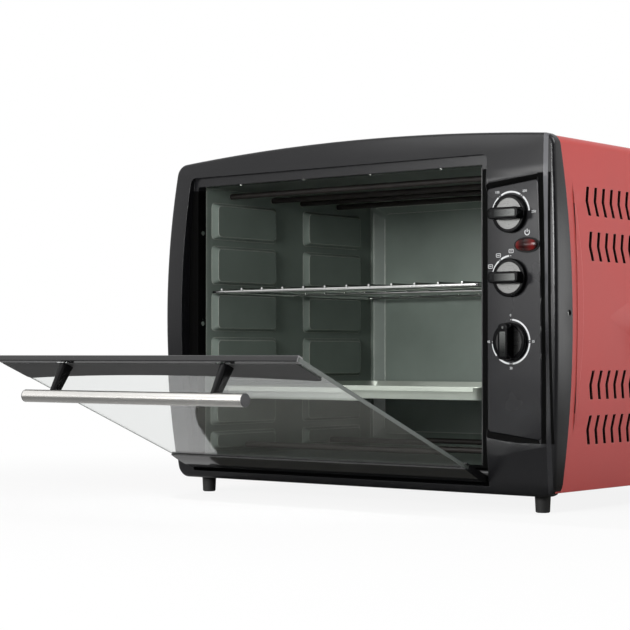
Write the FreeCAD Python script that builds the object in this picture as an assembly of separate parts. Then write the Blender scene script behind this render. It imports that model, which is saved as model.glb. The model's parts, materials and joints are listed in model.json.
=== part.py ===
import FreeCAD, Part
import math
import os

# A countertop electric oven with a drop-down glass door, shown with the door open on its stop.
# X runs to the right as seen from the front, Y to the back, Z up, in millimetres.
# Sizes are first given from the front frame: X = 0 at the middle of its width, Y = 0 at its top
# and bottom edges, Z = 0 at its bottom edge. The whole is moved to its own origin at the end.

Vec = FreeCAD.Vector
ALONG_X = Vec(1, 0, 0)
ALONG_Y = Vec(0, 1, 0)
ALONG_Z = Vec(0, 0, 1)

# Shared clearances and sheet
overrun = 4.0
touch_gap = 0.3
running_gap = 0.05
sheet = 1.0

# Front frame
frame_width = 527.4
frame_height = 370.0
side_bow = 10.7
top_arch = 11.5
frame_corner = 14.0
front_bulge = 11.4
frame_rear_top = 8.0
frame_rear_middle = 18.0
frame_rear_bottom = 13.0
frame_edge_round = 4.0
face_wall = 3.5
jamb_wall = 3.0
half_frame = frame_width / 2
frame_middle = frame_height / 2


# How far the frame's bowed sides draw in at a height
def bow_at(height):
    share = (height - frame_middle) / frame_middle
    return side_bow * share * share


# Cover, pan and rear panel
body_rear = 371.0
cover_side_inset = 12.2
cover_top_inset = 11.8
cover_corner = 9.0
cover_front = 5.0
cover_bottom = 4.0
rear_lip = 12.0
rear_plate_thick = 1.2
pan_bottom = 3.8
pan_flange = 12.0
pan_flange_front = 21.3
pan_flange_side = 24.0
cover_half = half_frame - cover_side_inset
cover_width = cover_half * 2
cover_top = frame_height - cover_top_inset
rear_plate_front = body_rear - rear_plate_thick
lip_front = rear_plate_front - sheet

# Door recess, jamb and hinge trough in the frame
frame_left_rim = 24.8
frame_top_rim = 27.5
control_width = 86.4
recess_bottom = 8.0
recess_corner = 7.0
recess_floor = 2.5
jamb_ledge_left = 13.4
jamb_ledge_right = 10.0
jamb_ledge_top = 10.0
jamb_bottom = 28.0
jamb_rear = 15.6
trough_rear = 16.0
sill_thick = 2.5
recess_left = frame_left_rim - half_frame
recess_right = half_frame - control_width
recess_top = frame_height - frame_top_rim
jamb_left = recess_left + jamb_ledge_left
jamb_right = recess_right - jamb_ledge_right
jamb_top = recess_top - jamb_ledge_top
trough_left = recess_left + bow_at(recess_bottom)
trough_top = jamb_bottom - sill_thick
trough_wall_left = trough_left - jamb_wall
trough_wall_right = recess_right + jamb_wall

# Cavity liner
liner_step_right = 10.0
liner_floor_drop = 1.5
liner_flange_front = 7.0
rear_space = 45.0
panel_raise = 5.5
panel_side_run = 6.0
panel_ledge_run = 3.0
panel_corner = 5.0
panel_column_start = 25.0
panel_column_length = 114.0
panel_column_end_gap = 22.0
panel_row_shares = [(0.8088, 0.9461), (0.6389, 0.7827), (0.4624, 0.6062), (0.2859, 0.4363), (0.116, 0.2624),
                    (0.0212, 0.0899)]
rear_recess_margin = 5.0
rear_recess_low_margin = 4.5
rear_recess_top_margin = 4.0
rear_recess_depth = 8.0
rear_recess_run = 12.0
rear_recess_corner = 8.0
cavity_right = jamb_right - liner_step_right
cavity_rear = body_rear - rear_space
cavity_floor = jamb_bottom - liner_floor_drop
cavity_height = jamb_top - cavity_floor
panel_rows = [(cavity_floor + cavity_height * low, cavity_floor + cavity_height * high)
              for low, high in panel_row_shares]
second_column = cavity_rear - panel_column_end_gap - panel_column_length
panel_columns = [(start, start + panel_column_length) for start in (panel_column_start, second_column)]

# Heating rods
rod_radius = 3.25
rod_end_reach = 9.0
top_rod_drop = 7.3
top_rod_place_shares = [0.184, 0.411, 0.5767, 0.7945]
bottom_rod_rise = 11.5
bottom_rod_place_shares = [0.2515, 0.7362]
insulator_radius = 6.5
insulator_length = 7.0
terminal_radius = 1.6
terminal_length = 6.0
top_rod_height = jamb_top - top_rod_drop
top_rod_places = [cavity_rear * share for share in top_rod_place_shares]
bottom_rod_height = cavity_floor + bottom_rod_rise
bottom_rod_places = [cavity_rear * share for share in bottom_rod_place_shares]

# Control panel, its recess and what sits behind it
panel_face = -4.0
panel_thick = 3.0
panel_right_margin = 21.9
panel_left_top_margin = 63.0
panel_left_bottom = 63.0
panel_right_top_margin = 56.0
panel_right_bottom = 55.5
panel_round = 4.0
panel_bow_radius = 4500.0
panel_bow_height = 135.0
recess_side_run = 12.2
recess_corner_run = 28.0
recess_top_band = 5.0
recess_bottom_band = 6.0
panel_seat = 2.5
partition_gap = 5.7
partition_front = 20.0
knob_side_margin = 57.9
temperature_top_margin = 89.4
mode_drop = 63.8
timer_drop = 63.7
lamp_beside_knobs = 19.3
lamp_drop = 31.8
lamp_half_width = 14.6
lamp_half_height = 7.8
lamp_proud = 3.0
bezel_rim = 1.7
bezel_proud = 1.2
neon_length = 20.0
neon_collar = 2.0
panel_right = half_frame - panel_right_margin
panel_left_top = frame_height - panel_left_top_margin
panel_right_top = frame_height - panel_right_top_margin
partition_place = recess_right + partition_gap
knob_column = half_frame - knob_side_margin
temperature_height = frame_height - temperature_top_margin
mode_height = temperature_height - mode_drop
timer_height = mode_height - timer_drop
lamp_place = knob_column + lamp_beside_knobs
lamp_height = temperature_height - lamp_drop

# Knobs
knob_radius = 19.2
knob_gap = 0.6
knob_skirt = 4.4
knob_face_radius = 15.6
knob_face_recess = 0.8
knob_proud = 15.5
knob_bar_length = 36.0
knob_bar_width = 11.6
knob_bar_round = 4.0
knob_bar_seat = 1.0
knob_edge_round = 1.2
knob_back_well = 2.1
inlay_length = 24.5
inlay_width = 6.8
inlay_deep = 0.6
pointer_dot_radius = 1.3
shaft_radius = 3.0
shaft_in_knob = 9.0
shaft_in_body = 12.0
shaft_bush_radius = 5.0
nut_radius = 8.0
nut_thick = 2.2
thermostat_size = (34.0, 22.0, 30.0)
switch_size = (36.0, 28.0, 32.0)
control_tab_width = 11.5
control_tab_rise = 9.0
control_tab_seat = 3.0
control_tab_reach = 6.0
timer_radius = 19.0
timer_depth = 34.0
bell_radius = 15.2
bell_height = 6.3
knob_front = panel_face - knob_gap - knob_skirt

# Thermostat bulb with its fine tube, which runs through the wall and the partition to the thermostat
bulb_radius = 3.0
bulb_length = 70.0
bulb_over_rack = 23.897
bulb_front = 130.0
bulb_stand = 10.0
clip_width = 5.0
clip_shares = [0.3, 0.7]
capillary_radius = 0.9
capillary_bend = 6.0
capillary_turn = 14.0

# Door, given closed: height above the hinge axis, and how far its faces stand before the axis
hinge_depth = 5.0
hinge_height = 19.5
open_angle = 67.5
door_gap_left = 1.5
door_gap_right = 2.0
door_gap_top = 2.0
glass_inset_left = 0.8
glass_inset_right = 2.5
glass_face = 8.5
glass_thick = 4.0
glass_corner = 3.0
rail_height = 44.0
rail_lip = 10.0
rail_crown = 11.6
rail_nose = 10.3
rail_back = 3.2
rail_barrel = 5.0
rail_groove = 8.0
rail_groove_gap = 0.1
trim_deep = 6.0
trim_back = 3.0
trim_face = 9.0
band_thick = 1.0
band_ends_drop = 46.0
band_middle_drop = 34.6
band_right_inset = 4.5
band_left_inset = 1.2
band_corner = 5.0
hinge_pin_radius = 3.0
hinge_pin_in_rail = 14.0
bush_outer = 4.4
bush_flange_thick = 0.8
bush_flange_radius = trough_top - hinge_height - touch_gap
door_left = trough_left + door_gap_left
door_right = recess_right - door_gap_right
door_height = recess_top - hinge_height - door_gap_top
band_low_ends = door_height - band_ends_drop
band_low_middle = door_height - band_middle_drop
glass_left = door_left + glass_inset_left
glass_right = door_right - glass_inset_right
glass_back = glass_face - glass_thick

# Handle
handle_length = 294.0
handle_radius = 6.25
handle_wall = 1.0
handle_stand = 44.5
handle_below_edge = 5.0
handle_cap_thick = 1.2
handle_cap_plug = 8.0
post_inset = 39.5
post_below_edge = 10.5
post_base_deep = 15.0
post_base_wide = 9.0
post_top_deep = 10.0
post_top_wide = 7.0
post_base_round = 4.2
post_top_round = 3.2
screw_radius = 2.0
screw_hole_gap = 0.6
screw_head_radius = 4.0
screw_head_thick = 1.5
handle_screw_reach = 15.0
handle_along = door_height - handle_below_edge
post_base_along = door_height - post_below_edge
handle_middle = (glass_left + glass_right) / 2
post_spacing = handle_length - post_inset * 2

# Feet and fasteners
foot_height = 20.8
foot_top_radius = 8.2
foot_bottom_radius = 7.2
foot_edge_bevel = 1.0
foot_side_inset = 25.5
foot_front = 22.0
foot_rear_inset = 22.0
foot_screw_reach = 12.0
side_screw_place = 12.0
side_screw_drop = 4.0
side_screw_head = 3.2
side_screw_grip = 3.0
slot_width = 0.6
jamb_screw_depth = 9.6
jamb_screw_height_shares = [0.8276, 0.486]
jamb_screw_head = 2.6
jamb_screw_proud = 0.8
jamb_screw_radius = 1.4
jamb_screw_grip = 5.0
roof_screw_place_shares = [0.1532, 0.3887, 0.6242, 0.8597]
rear_screw_radius = 1.8
rear_screw_head = 3.6
rear_screw_grip = 5.0
rear_screw_height_shares = [0.08, 0.5, 0.93]
side_screw_height = frame_middle - side_screw_drop
side_screw_seat = half_frame - screw_head_thick - face_wall / 2
jamb_screw_heights = [jamb_bottom + (jamb_top - jamb_bottom) * share for share in jamb_screw_height_shares]
roof_screw_places = [jamb_left + (jamb_right - jamb_left) * share for share in roof_screw_place_shares]

# Side vents and pressed forms of the cover. A vent row is given by its low and high end as shares of the
# cover's height, the place of its first slot, and which way its slots lean
vent_outer_front = 65.5
vent_inner_front = 71.5
vent_row_shares = [
    (0.784, 0.8654, vent_outer_front, 1),
    (0.6564, 0.7391, vent_inner_front, 1),
    (0.2651, 0.3464, vent_inner_front, -1),
    (0.1388, 0.2202, vent_outer_front, -1),
]
vent_pitch = 15.8
vent_rear_margin = 50.0
vent_half_width = 2.6
vent_near_lean = 2.0
vent_far_lean = 6.0
bead_low_share = 0.1739
bead_high_share = 0.8696
bead_front_ends = 38.0
bead_front_middle = 45.0
bead_width = 13.0
bead_raise = 1.2
bead_slope = 1.1
bead_end_slope = 12.0
diamond_front = 107.5
diamond_height_share = 0.4979
diamond_half_length = 82.0
diamond_half_height = 37.0
diamond_raise = 0.8
diamond_slope = 1.6
rear_vent_count = 9
rear_vent_length = 60.0
rear_vent_width = 4.0
rear_vent_pitch = 11.0
rear_vent_row_shares = [0.24, 0.7]
rear_vent_column_shares = [-0.2, 0.1]
bead_low = cover_top * bead_low_share
bead_high = cover_top * bead_high_share
diamond_height = cover_top * diamond_height_share

# Cord gland and wiring block at the back
gland_side_margin = 37.5
gland_height = 46.0
gland_bore = 4.0
gland_sleeve = 6.5
gland_flange = 10.0
gland_flange_thick = 3.0
gland_length = 18.0
gland_proud = 6.0
block_size = (36.0, 16.0, 18.0)
block_gap = 26.0
block_screw_rise = 10.8
block_ways = 3
gland_place = cover_half - gland_side_margin

# Wire rack, resting on the ledges of the third row of pressed panels
rack_row = 2
rack_front = 18.0
rack_rear_gap = 10.0
rack_side_gap = 2.5
rack_rail_radius = 1.9
rack_brace_radius = 1.7
rack_wire_radius = 1.25
rack_wire_seat = 0.75
rack_wire_reach = 2.4
rack_corner = 8.0
rack_wire_count = 12
rack_wire_margin = 19.85
ledge_slope = panel_ledge_run / panel_raise
rack_left = jamb_left + rack_side_gap + rack_rail_radius
rack_right = cavity_right - rack_side_gap - rack_rail_radius
rack_rear = cavity_rear - rack_rear_gap
rack_height = (panel_rows[rack_row][1] - ledge_slope * (rack_side_gap + rack_rail_radius)
               + (rack_rail_radius + touch_gap) * math.hypot(1, ledge_slope))
bulb_height = rack_height + bulb_over_rack

# Baking tray, resting on the ledges of the fifth row of pressed panels
tray_row = 4
tray_front = 23.0
tray_rear_gap = 8.0
tray_side_gap = 2.0
tray_rim_width = 9.0
tray_depth = 14.0
tray_draft = 3.0
tray_corner = 14.0
tray_lip_drop = 5.0
tray_left = jamb_left + tray_side_gap
tray_right = cavity_right - tray_side_gap
tray_rear = cavity_rear - tray_rear_gap
tray_rim_bottom = panel_rows[tray_row][1] - ledge_slope * tray_side_gap + touch_gap


def box(x0, x1, y0, y1, z0, z1):
    return Part.makeBox(x1 - x0, y1 - y0, z1 - z0, Vec(x0, y0, z0))


def rod(start, direction, radius, length):
    return Part.makeCylinder(radius, length, start, direction)


def fuse(shapes):
    whole = shapes[0]
    for shape in shapes[1:]:
        whole = whole.fuse(shape)
    return whole.removeSplitter()


def cut(shape, tools):
    for tool in tools:
        shape = shape.cut(tool)
    return shape


def group(shapes):
    return Part.makeCompound(shapes)


# The arc that rounds one corner of a path, with the points where it starts and ends
def corner_arc(before, corner, after, radius):
    back = before.sub(corner).normalize()
    ahead = after.sub(corner).normalize()
    half = back.getAngle(ahead) / 2
    reach = radius / math.tan(half)
    inward = back.add(ahead).normalize()
    centre = corner.add(inward * (radius / math.sin(half)))
    start = corner.add(back * reach)
    end = corner.add(ahead * reach)
    return start, end, Part.Arc(start, centre.sub(inward * radius), end).toShape()


# A closed wire through flat corner points, each corner rounded to one radius
def rounded_loop(corners, radius):
    count = len(corners)
    arcs = [corner_arc(corners[index - 1], corners[index], corners[(index + 1) % count], radius)
            for index in range(count)]
    loop = []
    for index in range(count):
        loop.append(arcs[index][2])
        loop.append(Part.makeLine(arcs[index][1], arcs[(index + 1) % count][0]))
    return Part.Wire(loop)


# An open wire through points, each inner corner rounded to one radius
def rounded_path(points, radius):
    runs = []
    start = points[0]
    for index in range(1, len(points) - 1):
        bend_start, bend_end, arc = corner_arc(points[index - 1], points[index], points[index + 1], radius)
        runs.append(Part.makeLine(start, bend_start))
        runs.append(arc)
        start = bend_end
    runs.append(Part.makeLine(start, points[-1]))
    return Part.Wire(runs)


def plain_loop(corners):
    return Part.makePolygon(corners + [corners[0]])


def rect_xz(x0, x1, z0, z1, y):
    return [Vec(x0, y, z0), Vec(x1, y, z0), Vec(x1, y, z1), Vec(x0, y, z1)]


def rect_yz(y0, y1, z0, z1, x):
    return [Vec(x, y0, z0), Vec(x, y1, z0), Vec(x, y1, z1), Vec(x, y0, z1)]


def rect_xy(x0, x1, y0, y1, z):
    return [Vec(x0, y0, z), Vec(x1, y0, z), Vec(x1, y1, z), Vec(x0, y1, z)]


def extrude(wire, direction):
    return Part.Face(wire).extrude(direction)


def loft(first, last):
    return Part.makeLoft([first, last], True, True)


def round_edges(shape, radius, chosen):
    return shape.makeFillet(radius, [edge for edge in shape.Edges if chosen(edge)])


def runs_along(edge, axis):
    if not isinstance(edge.Curve, Part.Line):
        return False
    return abs(edge.Curve.Direction.dot(axis)) > math.cos(math.radians(1))


# The frame's bowed front outline: straight bottom, arched top and bowed sides
def frame_outline(depth):
    low_x = half_frame - side_bow
    shoulder = frame_height - top_arch
    high_x = half_frame - bow_at(shoulder)
    bottom_left = Vec(-low_x, depth, 0)
    bottom_right = Vec(low_x, depth, 0)
    top_right = Vec(high_x, depth, shoulder)
    top_left = Vec(-high_x, depth, shoulder)
    return Part.Wire([
        Part.makeLine(bottom_left, bottom_right),
        Part.Arc(bottom_right, Vec(half_frame, depth, frame_middle), top_right).toShape(),
        Part.Arc(top_right, Vec(0, depth, frame_height), top_left).toShape(),
        Part.Arc(top_left, Vec(-half_frame, depth, frame_middle), bottom_left).toShape(),
    ])


def side_cylinder(top, middle, bottom, offset):
    circle = Part.Circle(Vec(0, top, frame_height), Vec(0, middle, frame_middle), Vec(0, bottom, 0))
    start = Vec(-frame_width, circle.Center.y, circle.Center.z)
    return rod(start, ALONG_X, circle.Radius + offset, frame_width * 2)


def frame_front(height):
    share = (height - frame_middle) / frame_middle
    return -front_bulge * (1 - share * share)


front_curve = side_cylinder(0, -front_bulge, 0, 0)
front_curve_inside = side_cylinder(0, -front_bulge, 0, -face_wall)
rear_curve = side_cylinder(frame_rear_top, frame_rear_middle, frame_rear_bottom, 0)
frame_start = -front_bulge - overrun
frame_end = frame_rear_middle + overrun


# The outline of the cover, grown or shrunk on its two sides and its top
def cover_outline(grow, bottom, y):
    half = cover_half + grow
    corners = rect_xz(-half, half, bottom, cover_top + grow, y)
    return corners


def cover_prism(grow, bottom, y0, y1):
    prism = extrude(plain_loop(cover_outline(grow, bottom, y0)), Vec(0, y1 - y0, 0))
    top = cover_top + grow

    def upper(edge):
        return runs_along(edge, ALONG_Y) and edge.CenterOfMass.z > top - overrun

    return round_edges(prism, cover_corner + grow, upper)


# The door recess: left side bowed like the frame, the rest straight
def recess_prism(grow, y0, y1):
    left = recess_left - grow
    right = recess_right + grow
    low = recess_bottom - grow
    high = recess_top + grow
    bottom_left = Vec(left + bow_at(recess_bottom), y0, low)
    top_left = Vec(left + bow_at(recess_top), y0, high)
    middle_left = Vec(left, y0, frame_middle)
    wire = Part.Wire([
        Part.makeLine(bottom_left, Vec(right, y0, low)),
        Part.makeLine(Vec(right, y0, low), Vec(right, y0, high)),
        Part.makeLine(Vec(right, y0, high), top_left),
        Part.Arc(top_left, middle_left, bottom_left).toShape(),
    ])
    prism = extrude(wire, Vec(0, y1 - y0, 0))
    return round_edges(prism, recess_corner + grow, lambda edge: runs_along(edge, ALONG_Y))


def jamb_prism(grow, y0, y1):
    corners = rect_xz(jamb_left - grow, jamb_right + grow, jamb_bottom - min(grow, sill_thick),
                      jamb_top + grow, y0)
    return extrude(plain_loop(corners), Vec(0, y1 - y0, 0))


# How far out the panel's bowed right side stands at a height
def panel_side(height):
    off = height - panel_bow_height
    return panel_right - off * off / (panel_bow_radius + panel_bow_radius)


# How far a band round the panel runs out at the frame's foremost plane, to show this wide on the bowed face
def recess_run(band, height):
    return band * (panel_face + front_bulge) / (panel_face - frame_front(height))


# A loop of four corners, bottom left first, each rounded, whose right side bows through a point
def bowed_loop(corners, side_middle, radius):
    low_left, low_right, high_right, high_left = [
        corner_arc(corners[index - 1], corners[index], corners[(index + 1) % len(corners)], radius)
        for index in range(len(corners))
    ]
    return Part.Wire([
        low_left[2],
        Part.makeLine(low_left[1], low_right[0]),
        low_right[2],
        Part.Arc(low_right[1], side_middle, high_right[0]).toShape(),
        high_right[2],
        Part.makeLine(high_right[1], high_left[0]),
        high_left[2],
        Part.makeLine(high_left[1], low_left[0]),
    ])


def panel_loop(gap, y):
    left = recess_right - gap
    corners = [
        Vec(left, y, panel_left_bottom - gap),
        Vec(panel_side(panel_right_bottom) + gap, y, panel_right_bottom - gap),
        Vec(panel_side(panel_right_top) + gap, y, panel_right_top + gap),
        Vec(left, y, panel_left_top + gap),
    ]
    return bowed_loop(corners, Vec(panel_side(frame_middle) + gap, y, frame_middle), panel_round)


# The outer edge of the panel's recess, where its slopes meet the frame's foremost plane
def recess_loop(gap, y):
    left = recess_right - gap
    low_left = recess_run(recess_bottom_band, panel_left_bottom - recess_bottom_band)
    low_right = recess_run(recess_bottom_band, panel_right_bottom - recess_bottom_band)
    high_right = recess_run(recess_top_band, panel_right_top + recess_top_band)
    high_left = recess_run(recess_top_band, panel_left_top + recess_top_band)
    corners = [
        Vec(left, y, panel_left_bottom - low_left),
        Vec(panel_side(panel_right_bottom) + recess_corner_run, y, panel_right_bottom - low_right),
        Vec(panel_side(panel_right_top) + recess_corner_run, y, panel_right_top + high_right),
        Vec(left, y, panel_left_top + high_left),
    ]
    middle = Vec(panel_side(frame_middle) + recess_side_run, y, frame_middle)
    return bowed_loop(corners, middle, panel_round + overrun)


# Where the knobs and the lamp stand, as height by name
knob_heights = {"temperature": temperature_height, "mode": mode_height, "timer": timer_height}


def ellipse_prism(grow, y0, y1):
    curve = Part.Ellipse(Vec(lamp_place, y0, lamp_height), lamp_half_width + grow, lamp_half_height + grow)
    curve.Axis = ALONG_Y
    curve.XAxis = ALONG_X
    return extrude(Part.Wire(curve.toShape()), Vec(0, y1 - y0, 0))


def side_screw_tools(radius, head, y, z):
    return [
        rod(Vec(-frame_width, y, z), ALONG_X, radius, frame_width * 2),
        rod(Vec(-frame_width, y, z), ALONG_X, head, frame_width - side_screw_seat),
        rod(Vec(side_screw_seat, y, z), ALONG_X, head, frame_width),
    ]


def make_front_frame():
    outline = extrude(frame_outline(frame_start), Vec(0, frame_end - frame_start, 0))
    lens = round_edges(outline, frame_corner, lambda edge: runs_along(edge, ALONG_Y))
    lens = lens.common(front_curve).common(rear_curve)
    lens = round_front(lens)
    pocket = cover_prism(touch_gap, pan_bottom - touch_gap, frame_start,
                         frame_end).common(front_curve_inside)
    recess_block = recess_prism(jamb_wall, frame_start, recess_floor + jamb_wall)
    panel_block = box(recess_right - jamb_wall, half_frame, frame_start, panel_seat,
                      panel_right_bottom - recess_bottom_band - jamb_wall,
                      panel_right_top + recess_top_band + jamb_wall)
    trough_block = box(trough_wall_left, trough_wall_right, recess_floor, trough_rear + jamb_wall,
                       pan_bottom + jamb_wall / 2, trough_top)
    jamb_block = jamb_prism(jamb_wall, recess_floor, jamb_rear)
    frame = lens.cut(cut(pocket, [recess_block, panel_block, trough_block, jamb_block]))
    frame = fuse([frame, trough_block, jamb_block])
    seat = loft(panel_loop(touch_gap / 2, panel_face), recess_loop(touch_gap / 2, -front_bulge))
    seat_front = extrude(recess_loop(touch_gap / 2, -front_bulge), Vec(0, -overrun, 0))
    plate_seat = extrude(panel_loop(touch_gap / 2, panel_face), Vec(0, panel_thick, 0))
    tools = [
        recess_prism(0, frame_start, recess_floor),
        jamb_prism(0, frame_start, frame_end),
        box(trough_left, recess_right, frame_start, trough_rear, recess_bottom, trough_top),
        seat, seat_front, plate_seat,
        ellipse_prism(-bezel_rim / 2, frame_start, frame_end),
    ]
    for height in knob_heights.values():
        tools.append(rod(Vec(knob_column, frame_start, height), ALONG_Y, shaft_bush_radius + touch_gap,
                         frame_end * 2))
    for wall in (trough_wall_left, recess_right):
        tools.append(rod(Vec(wall, hinge_depth, hinge_height), ALONG_X, bush_outer + running_gap,
                         jamb_wall))
    for point in foot_points().values():
        tools.append(rod(point, ALONG_Z, screw_head_radius + touch_gap,
                         sheet + screw_head_thick + touch_gap))
    tools += side_screw_tools(screw_radius, side_screw_head, side_screw_place, side_screw_height)
    for height in jamb_screw_heights:
        tools.append(rod(Vec(jamb_left - overrun, jamb_screw_depth, height), ALONG_X, jamb_screw_radius,
                         jamb_right - jamb_left + overrun * 2))
    for place in roof_screw_places:
        tools.append(rod(Vec(place, jamb_screw_depth, jamb_top - overrun), ALONG_Z, jamb_screw_radius,
                         overrun * 2))
    return cut(frame, tools)


# Rounds the frame's outer edge all round its front face
def round_front(lens):
    def on_front(edge):
        for vertex in edge.Vertexes:
            if abs(vertex.Y - frame_front(vertex.Z)) > face_wall / 4:
                return False
        middle = edge.valueAt((edge.FirstParameter + edge.LastParameter) / 2)
        return abs(middle.y - frame_front(middle.z)) < face_wall / 4

    return round_edges(lens, frame_edge_round, on_front)


def make_control_panel():
    plate = extrude(panel_loop(0, panel_face), Vec(0, panel_thick, 0))

    def left_front(edge):
        middle = edge.CenterOfMass
        return runs_along(edge,
                          ALONG_Z) and middle.x < recess_right + sheet and middle.y < panel_face + sheet / 2

    plate = round_edges(plate, panel_thick / 2, left_front)
    tools = [ellipse_prism(-bezel_rim / 2, panel_face - overrun, panel_face + panel_thick + overrun)]
    for height in knob_heights.values():
        tools.append(rod(Vec(knob_column, panel_face - overrun, height), ALONG_Y,
                         shaft_bush_radius + touch_gap,
                         panel_thick + overrun * 2))
    return cut(plate, tools)


# One slanted vent slot, a flat bent band, cut through both sides of the cover
def vent_slot(low, high, front, lean):
    middle = (low + high) / 2
    near = vent_near_lean if lean > 0 else vent_far_lean
    far = vent_far_lean if lean > 0 else vent_near_lean
    x = -cover_width
    corners = [
        Vec(x, front + far - vent_half_width, low),
        Vec(x, front + far + vent_half_width, low),
        Vec(x, front + vent_half_width, middle),
        Vec(x, front + near + vent_half_width, high),
        Vec(x, front + near - vent_half_width, high),
        Vec(x, front - vent_half_width, middle),
    ]
    return extrude(plain_loop(corners), Vec(cover_width * 2, 0, 0))


# The curved bead: a leaf between two arcs, whose crown is drawn in from the leaf's outline
def bead_ring(x, inset, end_inset):
    middle = (bead_low + bead_high) / 2
    low = Vec(x, bead_front_ends + inset, bead_low + end_inset)
    high = Vec(x, bead_front_ends + inset, bead_high - end_inset)
    front = Vec(x, bead_front_middle + inset, middle)
    rear = Vec(x, bead_front_middle + bead_width - inset, middle)
    return Part.Wire([Part.Arc(low, front, high).toShape(), Part.Arc(high, rear, low).toShape()])


def side_bead(side):
    x = side * cover_half
    return loft(bead_ring(x, 0, 0), bead_ring(x + side * bead_raise, bead_slope, bead_end_slope))


def side_diamond(side):
    x = side * cover_half
    centre = diamond_front + diamond_half_length

    def ring(shrink, reach):
        length = diamond_half_length - shrink * diamond_half_length / diamond_half_height
        height = diamond_half_height - shrink
        return plain_loop([Vec(reach, centre - length, diamond_height),
                           Vec(reach, centre, diamond_height - height),
                           Vec(reach, centre + length, diamond_height), Vec(reach, centre,
                                                                            diamond_height + height)])

    return loft(ring(0, x), ring(diamond_slope, x + side * diamond_raise))


def cover_side_screw_tool():
    return rod(Vec(-frame_width, side_screw_place, side_screw_height), ALONG_X, screw_radius,
               frame_width * 2)


def rear_screw_points():
    points = []
    inset = cover_half - sheet - rear_lip / 2
    low = pan_bottom
    for share in rear_screw_height_shares:
        for side in (-1, 1):
            points.append((side * inset, low + (cover_top - low) * share))
    return points


def make_outer_cover():
    body = cover_prism(0, cover_bottom, cover_front, body_rear)
    inside = cover_prism(-sheet, cover_bottom - overrun, cover_front - overrun, body_rear + overrun)
    shell = body.cut(inside)
    lip = cover_prism(-sheet / 2, cover_bottom + sheet, lip_front, lip_front + sheet)
    lip = lip.cut(box(sheet + rear_lip - cover_half, cover_half - sheet - rear_lip,
                      lip_front - overrun, body_rear, cover_bottom - overrun, cover_top - sheet - rear_lip))
    shapes = [shell, lip]
    for side in (-1, 1):
        shapes.append(side_bead(side))
        shapes.append(side_diamond(side))
    cover = fuse(shapes)
    tools = [cover_side_screw_tool()]
    for low_share, high_share, front, lean in vent_row_shares:
        count = int((body_rear - vent_rear_margin - front) / vent_pitch)
        for index in range(count):
            tools.append(vent_slot(cover_top * low_share, cover_top * high_share,
                                   front + index * vent_pitch, lean))
    for x, z in rear_screw_points():
        tools.append(rod(Vec(x, lip_front - overrun, z), ALONG_Y, rear_screw_radius, sheet + overrun * 2))
    return cover.cut(Part.makeCompound(tools))


def make_rear_panel():
    plate = cover_prism(-sheet - touch_gap, pan_bottom + sheet + touch_gap, rear_plate_front, body_rear)
    start = rear_plate_front - overrun
    through = rear_plate_thick + overrun * 2
    tools = [rod(Vec(gland_place, start, gland_height), ALONG_Y, gland_sleeve + running_gap, through)]
    for x, z in rear_screw_points():
        tools.append(rod(Vec(x, start, z), ALONG_Y, rear_screw_radius, through))
    for row_share in rear_vent_row_shares:
        for index in range(rear_vent_count):
            z = cover_top * row_share + (index - (rear_vent_count - 1) / 2) * rear_vent_pitch
            for column_share in rear_vent_column_shares:
                centre = cover_width * column_share
                tools.append(box(centre - rear_vent_length / 2, centre + rear_vent_length / 2, start,
                                 start + through,
                                 z - rear_vent_width / 2, z + rear_vent_width / 2))
    return plate.cut(Part.makeCompound(tools))


def foot_points():
    points = {}
    for side, x in (("left", -1), ("right", 1)):
        place = x * (cover_half - foot_side_inset)
        points["foot_front_" + side] = Vec(place, foot_front, pan_bottom)
        points["foot_rear_" + side] = Vec(place, body_rear - foot_rear_inset, pan_bottom)
    return points


def make_base_pan():
    half = cover_half - sheet - touch_gap
    front = cover_front + touch_gap
    rear = lip_front - touch_gap
    floor_top = pan_bottom + sheet
    flange_top = floor_top + pan_flange
    parts = [
        box(-half, half, front, rear, pan_bottom, floor_top),
        box(-half, sheet - half, pan_flange_front, rear, pan_bottom, flange_top),
        box(half - sheet, half, pan_flange_front, rear, pan_bottom, flange_top),
        box(pan_flange_side - half, half - pan_flange_side, rear - sheet, rear, pan_bottom, flange_top),
    ]
    tools = []
    for point in foot_points().values():
        tools.append(rod(point - ALONG_Z * overrun, ALONG_Z, screw_radius, sheet + overrun * 2))
    return cut(fuse(parts), tools)


# A pressed panel standing proud of a side wall: a block with sloping sides
def pressed_block(columns, rows, wall, inward):
    y0, y1 = columns
    z0, z1 = rows
    base = rounded_loop(rect_yz(y0, y1, z0, z1, wall), panel_corner)
    crown = rounded_loop(rect_yz(y0 + panel_side_run, y1 - panel_side_run, z0 + panel_ledge_run,
                                 z1 - panel_ledge_run, wall + inward * panel_raise), panel_corner)
    return loft(base, crown)


def rod_points():
    points = [(y, top_rod_height) for y in top_rod_places]
    return points + [(y, bottom_rod_height) for y in bottom_rod_places]


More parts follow.
